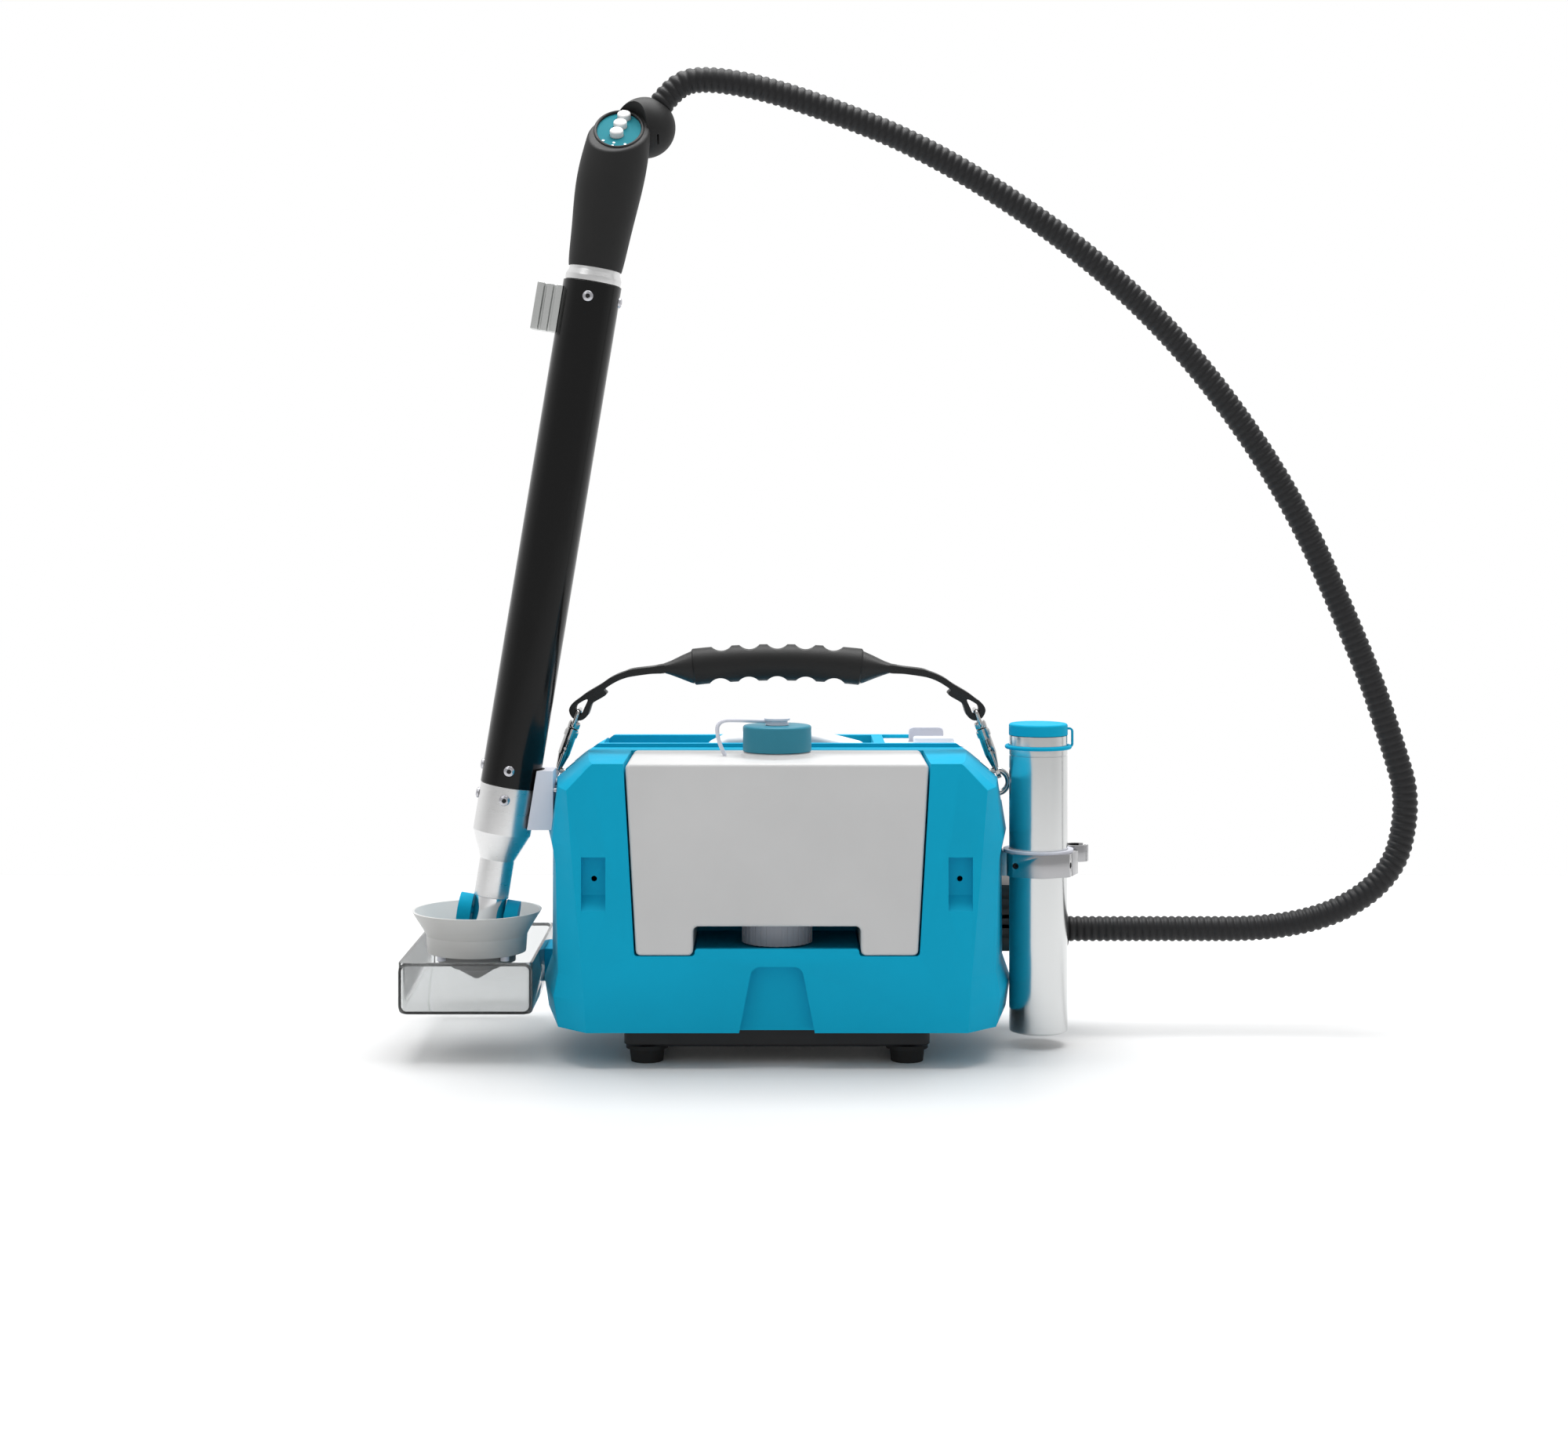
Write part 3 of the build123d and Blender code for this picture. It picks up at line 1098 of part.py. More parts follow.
def clamp_spot(turn):
    """The plane of a set screw's mouth, at this turn round the canister and facing outwards."""
    out = (cos(radians(turn)), sin(radians(turn)), 0)
    middle = (CLAMP_Z[0] + CLAMP_Z[1]) / 2
    return Plane(origin=(CAN_X + CLAMP_R * out[0], CAN_Y + CLAMP_R * out[1], middle), z_dir=out)


with BuildPart() as canister_clamp:
    with BuildSketch(Plane.XY.offset(CLAMP_Z[0])):
        with Locations((CAN_X, CAN_Y)):
            RegularPolygon(CLAMP_CORNER_R, 8)
        with Locations(((clamp_seat_x + CAN_X) / 2, CAN_Y)):
            Rectangle(CAN_X - clamp_seat_x, clamp_seat_y[1] - clamp_seat_y[0])
        with Locations((CAN_X, CAN_Y)):
            Circle(clamp_in_r, mode=Mode.SUBTRACT)
        slit = radians(-33)
        with Locations(Location((CAN_X + 30 * cos(slit), CAN_Y + 30 * sin(slit), 0), (0, 0, -33))):
            Rectangle(12, 1, mode=Mode.SUBTRACT)
    extrude(amount=CLAMP_Z[1] - CLAMP_Z[0])
    with BuildSketch(Plane.XY.offset(CLIP_Z[0])):
        with Locations((CLIP_X, CLIP_Y)):
            Circle(CLIP_R)
        with Locations(Location(clip_neck, (0, 0, degrees(clip_turn)))):
            Rectangle(10, 9)
        with Locations((CAN_X, CAN_Y)):
            Circle(CLAMP_R - 2.2, mode=Mode.SUBTRACT)
        with Locations((CLIP_X, CLIP_Y)):
            Circle(CLIP_R - 2, mode=Mode.SUBTRACT)
        with Locations((CLIP_X + 10, CLIP_Y + 3)):
            Rectangle(14, 10, mode=Mode.SUBTRACT)
    extrude(amount=CLIP_Z[1] - CLIP_Z[0])
    for turn in CLAMP_SCREWS:
        extrude(disc_on(clamp_spot(turn).offset(2), 2.5 + PIN_FIT), amount=-9, mode=Mode.SUBTRACT)
save(canister_clamp.part, "canister_clamp")

with BuildPart() as clamp_liner:
    with BuildSketch(Plane.XY.offset(CLAMP_Z[0])):
        with Locations((CAN_X, CAN_Y)):
            Circle(liner_out_r)
            Circle(liner_in_r, mode=Mode.SUBTRACT)
    extrude(amount=CLAMP_Z[1] - CLAMP_Z[0])
    with BuildSketch(Plane.XY.offset(CLAMP_Z[1])):
        with Locations((CAN_X, CAN_Y)):
            Circle(CLAMP_R - 2.5)
            Circle(liner_in_r, mode=Mode.SUBTRACT)
    extrude(amount=2)
save(clamp_liner.part, "clamp_liner")

with BuildPart() as clamp_screws:
    for turn in CLAMP_SCREWS:
        spot = clamp_spot(turn).offset(-0.6)
        extrude(disc_on(spot, 2.5), amount=-4.2)
        extrude(disc_on(spot, 1.2), amount=-1.5, mode=Mode.SUBTRACT)
save(clamp_screws.part, "clamp_screws")

with BuildPart() as clip_lining:
    with BuildSketch(Plane.XY.offset(CLIP_Z[0])):
        with Locations((CLIP_X, CLIP_Y)):
            Circle(CLIP_R - 2.05)
            Circle(CLIP_R - 3.2, mode=Mode.SUBTRACT)
        with Locations((CLIP_X + 10, CLIP_Y + 3)):
            Rectangle(14, 10, mode=Mode.SUBTRACT)
    extrude(amount=CLIP_Z[1] - CLIP_Z[0])
save(clip_lining.part, "clip_lining")

# Hose port, gland and ribbed hose

louvre_h = 3.5
louvre_pitch = 8.5
with BuildPart() as hose_port:
    block(PORT_X, PORT_Y, PORT_Z)
    fillet(hose_port.edges().filter_by(Axis.Z).group_by(Axis.X)[-1], 5)
    for i in range(5):
        z = PORT_Z[1] - 9 - i * louvre_pitch
        block((PORT_X[0] + 8, PORT_X[1] - 9), (PORT_Y[0] - 1, PORT_Y[0] + 2), (z - louvre_h, z), Mode.SUBTRACT)
    block((PORT_X[0] + 3, PORT_X[1] - 6), (PORT_Y[0] + 5, PORT_Y[1] - 5), (PORT_Z[0] + 4, PORT_Z[1] - 4),
          Mode.SUBTRACT)
    with Locations((PORT_X[1] - 3, HOSE_POINTS[0][1], HOSE_POINTS[0][2])):
        Cylinder(11.55, 12, rotation=(0, 90, 0), mode=Mode.SUBTRACT)
save(hose_port.part, "hose_port")

gland_x = HOSE_POINTS[0][0]
with BuildPart() as hose_gland:
    with Locations((gland_x - 1.5, HOSE_POINTS[0][1], HOSE_POINTS[0][2])):
        Cylinder(FLANGE_R, 3, rotation=(0, 90, 0))
    with Locations(((gland_x + PORT_X[1] - 6) / 2, HOSE_POINTS[0][1], HOSE_POINTS[0][2])):
        Cylinder(11.5, gland_x - PORT_X[1] + 6, rotation=(0, 90, 0))
        Cylinder(HOSE_BORE_R, 40, rotation=(0, 90, 0), mode=Mode.SUBTRACT)
save(hose_gland.part, "hose_gland")

hose_vectors = [Vector(*p) for p in HOSE_POINTS]
bends = []
for before, here, after in zip(hose_vectors, hose_vectors[1:], hose_vectors[2:]):
    first, second = here - before, after - here
    half_turn = radians(first.get_angle(second)) / 2
    bends.append(0.45 * min(first.length, second.length) / tan(half_turn))
print("hose bend radii:", " ".join(f"{r:.0f}" for r in bends))

with BuildPart() as hose:
    with BuildLine() as hose_route:
        FilletPolyline(*HOSE_POINTS, radius=bends)
    route = hose_route.wires()[0]
    end_share = 2 * HOSE_R / route.length
    rib_share = (1 - 2 * end_share) / HOSE_RIBS
    stations = [(0.0, HOSE_R)]
    for i in range(HOSE_RIBS):
        start = end_share + i * rib_share
        stations += [(start + share * rib_share, r) for share, r in
                     ((0.1, HOSE_VALLEY_R), (0.3, HOSE_R), (0.75, HOSE_R), (0.95, HOSE_VALLEY_R))]
    stations.append((1.0, HOSE_VALLEY_R))
    for share, radius in stations:
        across_route = Plane(origin=route.position_at(share), x_dir=(0, 1, 0), z_dir=route.tangent_at(share))
        with BuildSketch(across_route):
            Circle(radius)
    loft(ruled=True)
    with BuildSketch(Plane(origin=route.position_at(0), x_dir=(0, 1, 0), z_dir=route.tangent_at(0))):
        Circle(HOSE_BORE_R)
    sweep(path=route, mode=Mode.SUBTRACT)
save(hose.part, "hose")
print(f"hose length: {route.length:.0f} mm")
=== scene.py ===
"""Looks of the portable gum removal machine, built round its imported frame. Metres, +Z up, front to -Y."""

import json
import math

import bmesh
import bpy
from mathutils import Matrix, Vector


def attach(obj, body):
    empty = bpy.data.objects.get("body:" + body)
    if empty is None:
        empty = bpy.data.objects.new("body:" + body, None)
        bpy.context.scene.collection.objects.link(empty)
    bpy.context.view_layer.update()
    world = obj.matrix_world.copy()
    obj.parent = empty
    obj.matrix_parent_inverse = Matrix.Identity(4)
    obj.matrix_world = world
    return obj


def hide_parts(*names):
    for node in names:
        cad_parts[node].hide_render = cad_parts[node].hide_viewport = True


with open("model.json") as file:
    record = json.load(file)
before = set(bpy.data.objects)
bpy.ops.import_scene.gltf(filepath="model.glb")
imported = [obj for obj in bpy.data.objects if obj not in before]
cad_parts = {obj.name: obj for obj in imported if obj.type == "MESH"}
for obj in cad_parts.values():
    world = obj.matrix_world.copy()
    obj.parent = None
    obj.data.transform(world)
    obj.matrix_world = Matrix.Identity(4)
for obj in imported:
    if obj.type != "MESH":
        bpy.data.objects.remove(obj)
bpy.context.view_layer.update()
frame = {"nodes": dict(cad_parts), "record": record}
NODES = frame["nodes"]
MM = 0.001


# Materials


def shader(name):
    material = bpy.data.materials.new(name)
    material.use_nodes = True
    tree = material.node_tree
    return material, tree, tree.nodes["Principled BSDF"]


def node(tree, kind, **sockets):
    made = tree.nodes.new(kind)
    for key, value in sockets.items():
        made.inputs[key].default_value = value
    return made


def object_coordinates(tree, stretch=(1, 1, 1), turn=(0, 0, 0)):
    place = tree.nodes.new("ShaderNodeTexCoord")
    mapping = tree.nodes.new("ShaderNodeMapping")
    mapping.inputs["Scale"].default_value = stretch
    mapping.inputs["Rotation"].default_value = turn
    tree.links.new(place.outputs["Object"], mapping.inputs["Vector"])
    return mapping.outputs["Vector"]


def noise(tree, vector, scale, detail=4.0, rough=0.55):
    made = node(tree, "ShaderNodeTexNoise", Scale=scale, Detail=detail, Roughness=rough)
    tree.links.new(vector, made.inputs["Vector"])
    return made.outputs["Fac"]


def spread(tree, value, low, high):
    made = tree.nodes.new("ShaderNodeMapRange")
    made.inputs["From Min"].default_value = 0.3
    made.inputs["From Max"].default_value = 0.7
    made.inputs["To Min"].default_value = low
    made.inputs["To Max"].default_value = high
    tree.links.new(value, made.inputs["Value"])
    return made.outputs["Result"]


def tint(tree, value, base, change, socket):
    """The base colour, a little darker and lighter as value goes from 0.3 to 0.7."""
    ramp = tree.nodes.new("ShaderNodeValToRGB")
    ramp.color_ramp.elements[0].position = 0.3
    ramp.color_ramp.elements[1].position = 0.7
    ramp.color_ramp.elements[0].color = [c * (1 - change) for c in base] + [1]
    ramp.color_ramp.elements[1].color = [min(1, c * (1 + change)) for c in base] + [1]
    tree.links.new(value, ramp.inputs["Fac"])
    tree.links.new(ramp.outputs["Color"], socket)


def bump(tree, value, strength, distance, shader_node):
    made = node(tree, "ShaderNodeBump", Strength=strength, Distance=distance)
    tree.links.new(value, made.inputs["Height"])
    tree.links.new(made.outputs["Normal"], shader_node.inputs["Normal"])


def plastic(name, base, rough, grain=0.06, grain_scale=1400, change=0.03, gloss=0.3):
    """Moulded plastic or rubber: a fine spark-eroded grain, with slow changes of colour and gloss."""
    material, tree, bsdf = shader(name)
    place = object_coordinates(tree)
    tint(tree, noise(tree, place, 9, 3), base, change, bsdf.inputs["Base Color"])
    tree.links.new(spread(tree, noise(tree, place, 40, 5), rough - 0.04, rough + 0.05), bsdf.inputs["Roughness"])
    bump(tree, noise(tree, place, grain_scale, 2), grain, 0.0003, bsdf)
    bsdf.inputs["Specular IOR Level"].default_value = gloss
    return material


def metal(name, base, rough, stretch=(1, 1, 1), turn=(0, 0, 0), lines=0.08, scale=260, anisotropy=0.0):
    """Turned, drawn or brushed metal, with fine lines along the stretched direction."""
    material, tree, bsdf = shader(name)
    place = object_coordinates(tree, stretch, turn)
    grain = noise(tree, place, scale, 3, 0.6)
    tint(tree, grain, base, 0.012, bsdf.inputs["Base Color"])
    tree.links.new(spread(tree, grain, rough - 0.008, rough + 0.012), bsdf.inputs["Roughness"])
    if lines:
        bump(tree, grain, lines, 0.0002, bsdf)
    bsdf.inputs["Metallic"].default_value = 1.0
    bsdf.inputs["Anisotropic"].default_value = anisotropy
    return material


LEAN = math.radians(9.4)
blue = plastic("blue_shell", (0.004, 0.345, 0.545), 0.55, grain=0.04, gloss=0.06)
white = plastic("white_tank", (0.56, 0.56, 0.56), 0.45, grain=0.05, grain_scale=700, gloss=0.2)
bright_white = plastic("white_cover", (0.80, 0.80, 0.82), 0.34, grain=0.03)
pale = plastic("pale_plastic", (0.68, 0.69, 0.76), 0.42, grain=0.05)
battery_white = plastic("battery_white", (0.86, 0.87, 0.92), 0.42, grain=0.04)
black = plastic("black_plastic", (0.010, 0.010, 0.011), 0.46, grain=0.06)
handle_black = plastic("handle_black", (0.017, 0.017, 0.017), 0.55, grain=0.08, gloss=0.2)
rubber = plastic("black_rubber", (0.010, 0.010, 0.010), 0.72, grain=0.12, grain_scale=900)
grip_rubber = plastic("grip_rubber", (0.012, 0.012, 0.012), 0.50, grain=0.08, grain_scale=800, gloss=0.25)
strap_black = plastic("strap_black", (0.012, 0.012, 0.012), 0.48, grain=0.08)
hose_black = plastic("hose_black", (0.015, 0.015, 0.016), 0.50, grain=0.04, gloss=0.25)
dark = plastic("dark_plastic", (0.040, 0.040, 0.042), 0.5, grain=0.06)
port_grey = plastic("port_grey", (0.075, 0.066, 0.062), 0.55, grain=0.08)
cup_grey = plastic("cup_grey", (0.52, 0.52, 0.51), 0.42, grain=0.04)
cutter_grey = plastic("cutter_grey", (0.20, 0.20, 0.20), 0.45, grain=0.05)
rib_grey = plastic("rib_grey", (0.50, 0.50, 0.54), 0.5, grain=0.04)
lever_grey = plastic("lever_grey", (0.58, 0.59, 0.66), 0.42, grain=0.04)
teal = plastic("teal_cap", (0.025, 0.20, 0.28), 0.42, grain=0.04, gloss=0.25)
panel = plastic("panel_film", (0.018, 0.17, 0.21), 0.65, grain=0.02, gloss=0.04)
key_white = plastic("key_white", (0.74, 0.74, 0.74), 0.34, grain=0.02)
board_green = plastic("board_green", (0.01, 0.09, 0.04), 0.5)
# Near-black: the colour of the dark clamp screws, and painted shade inside the lance screws' hex sockets.
dark_screw_and_socket_shade = plastic("dark_screw_and_socket_shade", (0.012, 0.012, 0.013), 0.5)
steel = metal("screw_steel", (0.50, 0.50, 0.53), 0.22, lines=0.0)
chrome = metal("chrome_wire", (0.46, 0.455, 0.45), 0.18, lines=0.01)
silver = metal("turned_silver", (0.72, 0.72, 0.72), 0.28, (1, 1, 10), (0, -LEAN, 0), 0.0, 60)
polished = metal("polished_sleeve", (0.80, 0.80, 0.81), 0.14, (1, 1, 10), (0, -LEAN, 0), 0.0, 60)
clamp_silver = metal("clamp_silver", (0.40, 0.40, 0.41), 0.18, (1, 1, 6), (0, 0, 0), 0.0, 90)
rail_silver = metal("rail_silver", (0.62, 0.63, 0.62), 0.24, (1, 1, 8), (0, -LEAN, 0), 0.0, 90)
can_metal = metal("canister_metal", (0.66, 0.67, 0.67), 0.20, (1, 1, 6), (0, 0, 0), 0.0, 60)
brass = metal("element_brass", (0.62, 0.45, 0.18), 0.35)


def lacquer(name, base):
    """Gloss black anodised tube."""
    material, tree, bsdf = shader(name)
    place = object_coordinates(tree)
    tint(tree, noise(tree, place, 12, 3), base, 0.08, bsdf.inputs["Base Color"])
    tree.links.new(spread(tree, noise(tree, place, 60, 5), 0.14, 0.24), bsdf.inputs["Roughness"])
    bump(tree, noise(tree, place, 500, 3), 0.02, 0.0002, bsdf)
    bsdf.inputs["Specular IOR Level"].default_value = 0.22
    bsdf.inputs["Coat Weight"].default_value = 0.06
    bsdf.inputs["Coat Roughness"].default_value = 0.10
    return material


def clear(name, base, rough):
    """Clear moulded plastic with faint flow marks."""
    material, tree, bsdf = shader(name)
    place = object_coordinates(tree)
    tint(tree, noise(tree, place, 6, 3), base, 0.02, bsdf.inputs["Base Color"])
    tree.links.new(spread(tree, noise(tree, place, 25, 4), rough, rough + 0.05), bsdf.inputs["Roughness"])
    bump(tree, noise(tree, place, 45, 2), 0.015, 0.001, bsdf)
    bsdf.inputs["Transmission Weight"].default_value = 0.95
    bsdf.inputs["IOR"].default_value = 1.3
    return material


def lamp(name, base, glow):
    material, tree, bsdf = shader(name)
    place = object_coordinates(tree)
    tint(tree, noise(tree, place, 300, 2), base, 0.04, bsdf.inputs["Base Color"])
    bsdf.inputs["Roughness"].default_value = 0.25
    bsdf.inputs["Emission Color"].default_value = (*base, 1)
    bsdf.inputs["Emission Strength"].default_value = glow
    return material


tube_black = lacquer("tube_black", (0.003, 0.003, 0.003))
tray_clear = clear("tray_clear", (0.80, 0.81, 0.81), 0.03)
# Dark tinted clear plastic for beads on the tray's rims: a painted dark edge line, standing in for the shade a clear
# edge shows by refraction.
tray_rim_shade = clear("tray_rim_shade", (0.20, 0.20, 0.20), 0.10)
light_lens = lamp("light_lens", (0.85, 0.92, 0.92), 0.25)


def paint(obj, material):
    obj.data.materials.clear()
    obj.data.materials.append(material)


def repaint(name, material):
    """Gives a shown CAD node its material, in the slots it has."""
    obj = NODES[name]
    if not obj.material_slots:
        obj.data.materials.append(material)
    for place in obj.material_slots:
        place.material = material


# Mesh helpers


def mesh_object(name, vertices, faces, material):
    mesh = bpy.data.meshes.new(name)
    mesh.from_pydata([tuple(v) for v in vertices], [], faces)
    mesh.validate()
    obj = bpy.data.objects.new(name, mesh)
    bpy.context.scene.collection.objects.link(obj)
    paint(obj, material)
    return obj


def smooth(obj, angle=32):
    """Smooth shading, with edges over this angle kept sharp."""
    made = bmesh.new()
    made.from_mesh(obj.data)
    bmesh.ops.recalc_face_normals(made, faces=made.faces)
    for face in made.faces:
        face.smooth = True
    for edge in made.edges:
        if len(edge.link_faces) == 2:
            edge.smooth = edge.calc_face_angle(0) < math.radians(angle)
    made.to_mesh(obj.data)
    made.free()
    obj.data.update()
    return obj


def applied(obj):
    """The object with its modifiers made part of its mesh."""
    graph = bpy.context.evaluated_depsgraph_get()
    mesh = bpy.data.meshes.new_from_object(obj.evaluated_get(graph))
    obj.modifiers.clear()
    obj.data = mesh
    return obj


def modifier(obj, kind, **settings):
    made = obj.modifiers.new(kind.lower(), kind)
    for key, value in settings.items():
        setattr(made, key, value)
    return made


def boolean(obj, other, operation):
    modifier(obj, "BOOLEAN", object=other, operation=operation, solver="EXACT")
    applied(obj)
    bpy.data.objects.remove(other, do_unlink=True)
    return obj


def copy_of(name, material, new_name=None):
    """A free copy of a CAD node's mesh, its coplanar triangles joined."""
    obj = bpy.data.objects.new(new_name or f"{name}_look", NODES[name].data.copy())
    bpy.context.scene.collection.objects.link(obj)
    made = bmesh.new()
    made.from_mesh(obj.data)
    bmesh.ops.remove_doubles(made, verts=made.verts, dist=0.00001)
    bmesh.ops.dissolve_limit(made, angle_limit=math.radians(0.6), verts=made.verts, edges=made.edges,
                             use_dissolve_boundaries=False)
    made.to_mesh(obj.data)
    made.free()
    if obj.data.has_custom_normals:
        with bpy.context.temp_override(object=obj, active_object=obj):
            bpy.ops.mesh.customdata_custom_splitnormals_clear()
    paint(obj, material)
    return obj


def softened(name, material, width, angle=25, segments=3, broad=0.0, is_broad=None):
    """A copy of a CAD node with its edges rounded, in the node's place; is_broad picks edges for a larger radius."""
    obj = copy_of(name, material)
    if is_broad:
        weights = obj.data.attributes.new("bevel_weight_edge", "FLOAT", "EDGE")
        for edge, weight in zip(obj.data.edges, weights.data):
            a, b = (obj.data.vertices[i].co / MM for i in edge.vertices)
            weight.value = 1.0 if is_broad(a, b) else 0.0
        modifier(obj, "BEVEL", width=broad * MM, segments=6, limit_method="WEIGHT", use_clamp_overlap=True)
    modifier(obj, "BEVEL", width=width * MM, segments=segments, limit_method="ANGLE",
             angle_limit=math.radians(angle), use_clamp_overlap=True, miter_outer="MITER_ARC")
    applied(obj)
    smooth(obj, 34)
    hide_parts(name)
    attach(obj, body_of_node(name))
    return obj


def body_of_node(name):
    for body, names in frame["record"]["behaviour"]["bodies"].items():
        if name in names:
            return body
    return "housing"


def rounded(points, radius, steps=5):
    """The corners of an open outline turned into arcs. A radius for all, or one for each point."""
    radii = radius if isinstance(radius, (list, tuple)) else [radius] * len(points)
    points = [Vector((p[0], p[1])) for p in points]
    out = [points[0]]
    for i in range(1, len(points) - 1):
        before, here, after = points[i - 1], points[i], points[i + 1]
        a, b = (before - here), (after - here)
        turn = a.angle(b, math.pi)
        r = radii[i]
        if r <= 0 or turn > math.radians(179):
            out.append(here)
            continue
        cut = min(r / math.tan(turn / 2), a.length * 0.48, b.length * 0.48)
        start, end = here + a.normalized() * cut, here + b.normalized() * cut
        for k in range(steps + 1):
            s = k / steps
            out.append(start * (1 - s) ** 2 + here * 2 * s * (1 - s) + end * s * s)
    out.append(points[-1])
    return out


def lathe(name, outline, place, material, segments=96, angle=32):
    """Turns an outline of (radius, height) in mm round the local Z of place."""
    vertices, faces = [], []
    count = len(outline)
    for k in range(segments):
        turn = 2 * math.pi * k / segments
        for r, h in outline:
            vertices.append(place @ Vector((r * MM * math.cos(turn), r * MM * math.sin(turn), h * MM)))
    for k in range(segments):
        here, after = k * count, (k + 1) % segments * count
        for i in range(count - 1):
            faces.append((here + i, after + i, after + i + 1, here + i + 1))
    obj = mesh_object(name, vertices, faces, material)
    made = bmesh.new()
    made.from_mesh(obj.data)
    bmesh.ops.remove_doubles(made, verts=made.verts, dist=0.000002)
    bmesh.ops.dissolve_degenerate(made, edges=made.edges, dist=0.000001)
    made.to_mesh(obj.data)
    made.free()
    return smooth(obj, angle)


def stand(obj, body, *names):
    """obj rides on the body and stands for the named CAD nodes."""
    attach(obj, body)
    if names:
        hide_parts(*names)
    return obj


def frame_at(origin, z_axis, x_axis):
    """A matrix with its origin in mm and two of its axes."""
    z = Vector(z_axis).normalized()
    x = Vector(x_axis)
    x = (x - z * x.dot(z)).normalized()
    y = z.cross(x)
    made = Matrix((x, y, z)).transposed().to_4x4()
    made.translation = Vector(origin) * MM
    return made


def extruded(name, outline, place, depth, material, bevel=0.6, holes=(), angle=30, segments=3):
    """A closed outline in mm on the XY plane of place, drawn out along its Z, with rounded edges."""
    made = bmesh.new()
    loops = [outline, *holes]
    edges = []
    for loop in loops:
        corners = [made.verts.new((p[0] * MM, p[1] * MM, 0)) for p in loop]
        edges += [made.edges.new((a, b)) for a, b in zip(corners, corners[1:] + corners[:1])]
    filled = bmesh.ops.triangle_fill(made, use_beauty=True, use_dissolve=False, edges=edges)
    faces = [f for f in filled["geom"] if isinstance(f, bmesh.types.BMFace)]
    bmesh.ops.dissolve_limit(made, angle_limit=0.01, verts=made.verts, edges=made.edges)
    grown = bmesh.ops.extrude_face_region(made, geom=made.faces[:])
    lifted = [v for v in grown["geom"] if isinstance(v, bmesh.types.BMVert)]
    bmesh.ops.translate(made, verts=lifted, vec=(0, 0, depth * MM))
    bmesh.ops.recalc_face_normals(made, faces=made.faces)
    mesh = bpy.data.meshes.new(name)
    made.to_mesh(mesh)
    made.free()
    mesh.transform(place)
    obj = bpy.data.objects.new(name, mesh)
    bpy.context.scene.collection.objects.link(obj)
    paint(obj, material)
    if bevel:
        modifier(obj, "BEVEL", width=bevel * MM, segments=segments, limit_method="ANGLE",
                 angle_limit=math.radians(angle))
        applied(obj)
    return smooth(obj, 34)


def circle(x, y, r, count=64, start=0.0, span=360.0):
    whole = span >= 360
    steps = count if whole else count + 1
    return [(x + r * math.cos(math.radians(start + span * k / count)),
             y + r * math.sin(math.radians(start + span * k / count))) for k in range(steps)]


def joined(name, pieces):
    """Several objects as one."""
    made = bmesh.new()
    for piece in pieces:
        made.from_mesh(piece.data)
    mesh = bpy.data.meshes.new(name)
    made.to_mesh(mesh)
    made.free()
    obj = bpy.data.objects.new(name, mesh)
    bpy.context.scene.collection.objects.link(obj)
    paint(obj, pieces[0].data.materials[0])
    for piece in pieces:
        bpy.data.objects.remove(piece, do_unlink=True)
    return smooth(obj, 34)


def tube_along(name, points, radii, material, sides=20, up=Vector((0, 1, 0)), closed=False):
    """A tube round points in metres, with a radius in metres at each."""
    vertices, faces = [], []
    count = len(points)
    for i, (point, radius) in enumerate(zip(points, radii)):
        if closed:
            tangent = (points[(i + 1) % count] - points[i - 1]).normalized()
        else:
            tangent = (points[min(i + 1, count - 1)] - points[max(i - 1, 0)]).normalized()
        side = tangent.cross(up).normalized()
        other = side.cross(tangent)
        for k in range(sides):
            turn = 2 * math.pi * k / sides
            vertices.append(point + side * radius * math.cos(turn) + other * radius * math.sin(turn))
    for i in range(count if closed else count - 1):
        here, after = i * sides, (i + 1) % count * sides
        for k in range(sides):
            m = (k + 1) % sides
            faces.append((here + k, here + m, after + m, after + k))
    return mesh_object(name, vertices, faces, material)


# Lance

LANCE_FOOT = Vector((-228.4, -34.0, 224.6))
LANCE_DIR = Vector((math.sin(LEAN), 0, math.cos(LEAN)))
LANCE_RIGHT = Vector((math.cos(LEAN), 0, -math.sin(LEAN)))
lance_place = frame_at(LANCE_FOOT, LANCE_DIR, LANCE_RIGHT)

tube = lathe("lance_tube_look", rounded([(22.5, 0.2), (25, 0.2), (25, 433.8), (22.5, 433.8), (22.5, 0.2)], 0.5),
             lance_place, tube_black)
stand(tube, "lance", "lance_tube")
nozzle = lathe("nozzle_look", rounded([(22.3, 3), (22.3, 0), (24.6, 0), (24.6, -40.4), (14.6, -64), (14.9, -96),
                                       (8, -96)], [0, 0, 0.5, 0.9, 0.9, 0.5, 0]), lance_place, silver)
stand(nozzle, "lance", "nozzle_body")
sleeve = lathe("sleeve_look", rounded([(8, -95.9), (13.5, -95.9), (13.5, -126), (6, -129), (6, -132), (3, -132),
                                       (3, -110)], [0, 0.3, 1.2, 0.8, 0.5, 0.3, 0]), lance_place, polished)
stand(sleeve, "lance", "polished_sleeve")
collar = lathe("upper_collar_look", rounded([(20, 434.05), (23.6, 434.05), (24, 439), (21.9, 443.5),
                                             (21.7, 446.4), (16, 446.4)], [0, 0.8, 3, 3, 0, 0]), lance_place, silver)
stand(collar, "lance", "upper_collar")

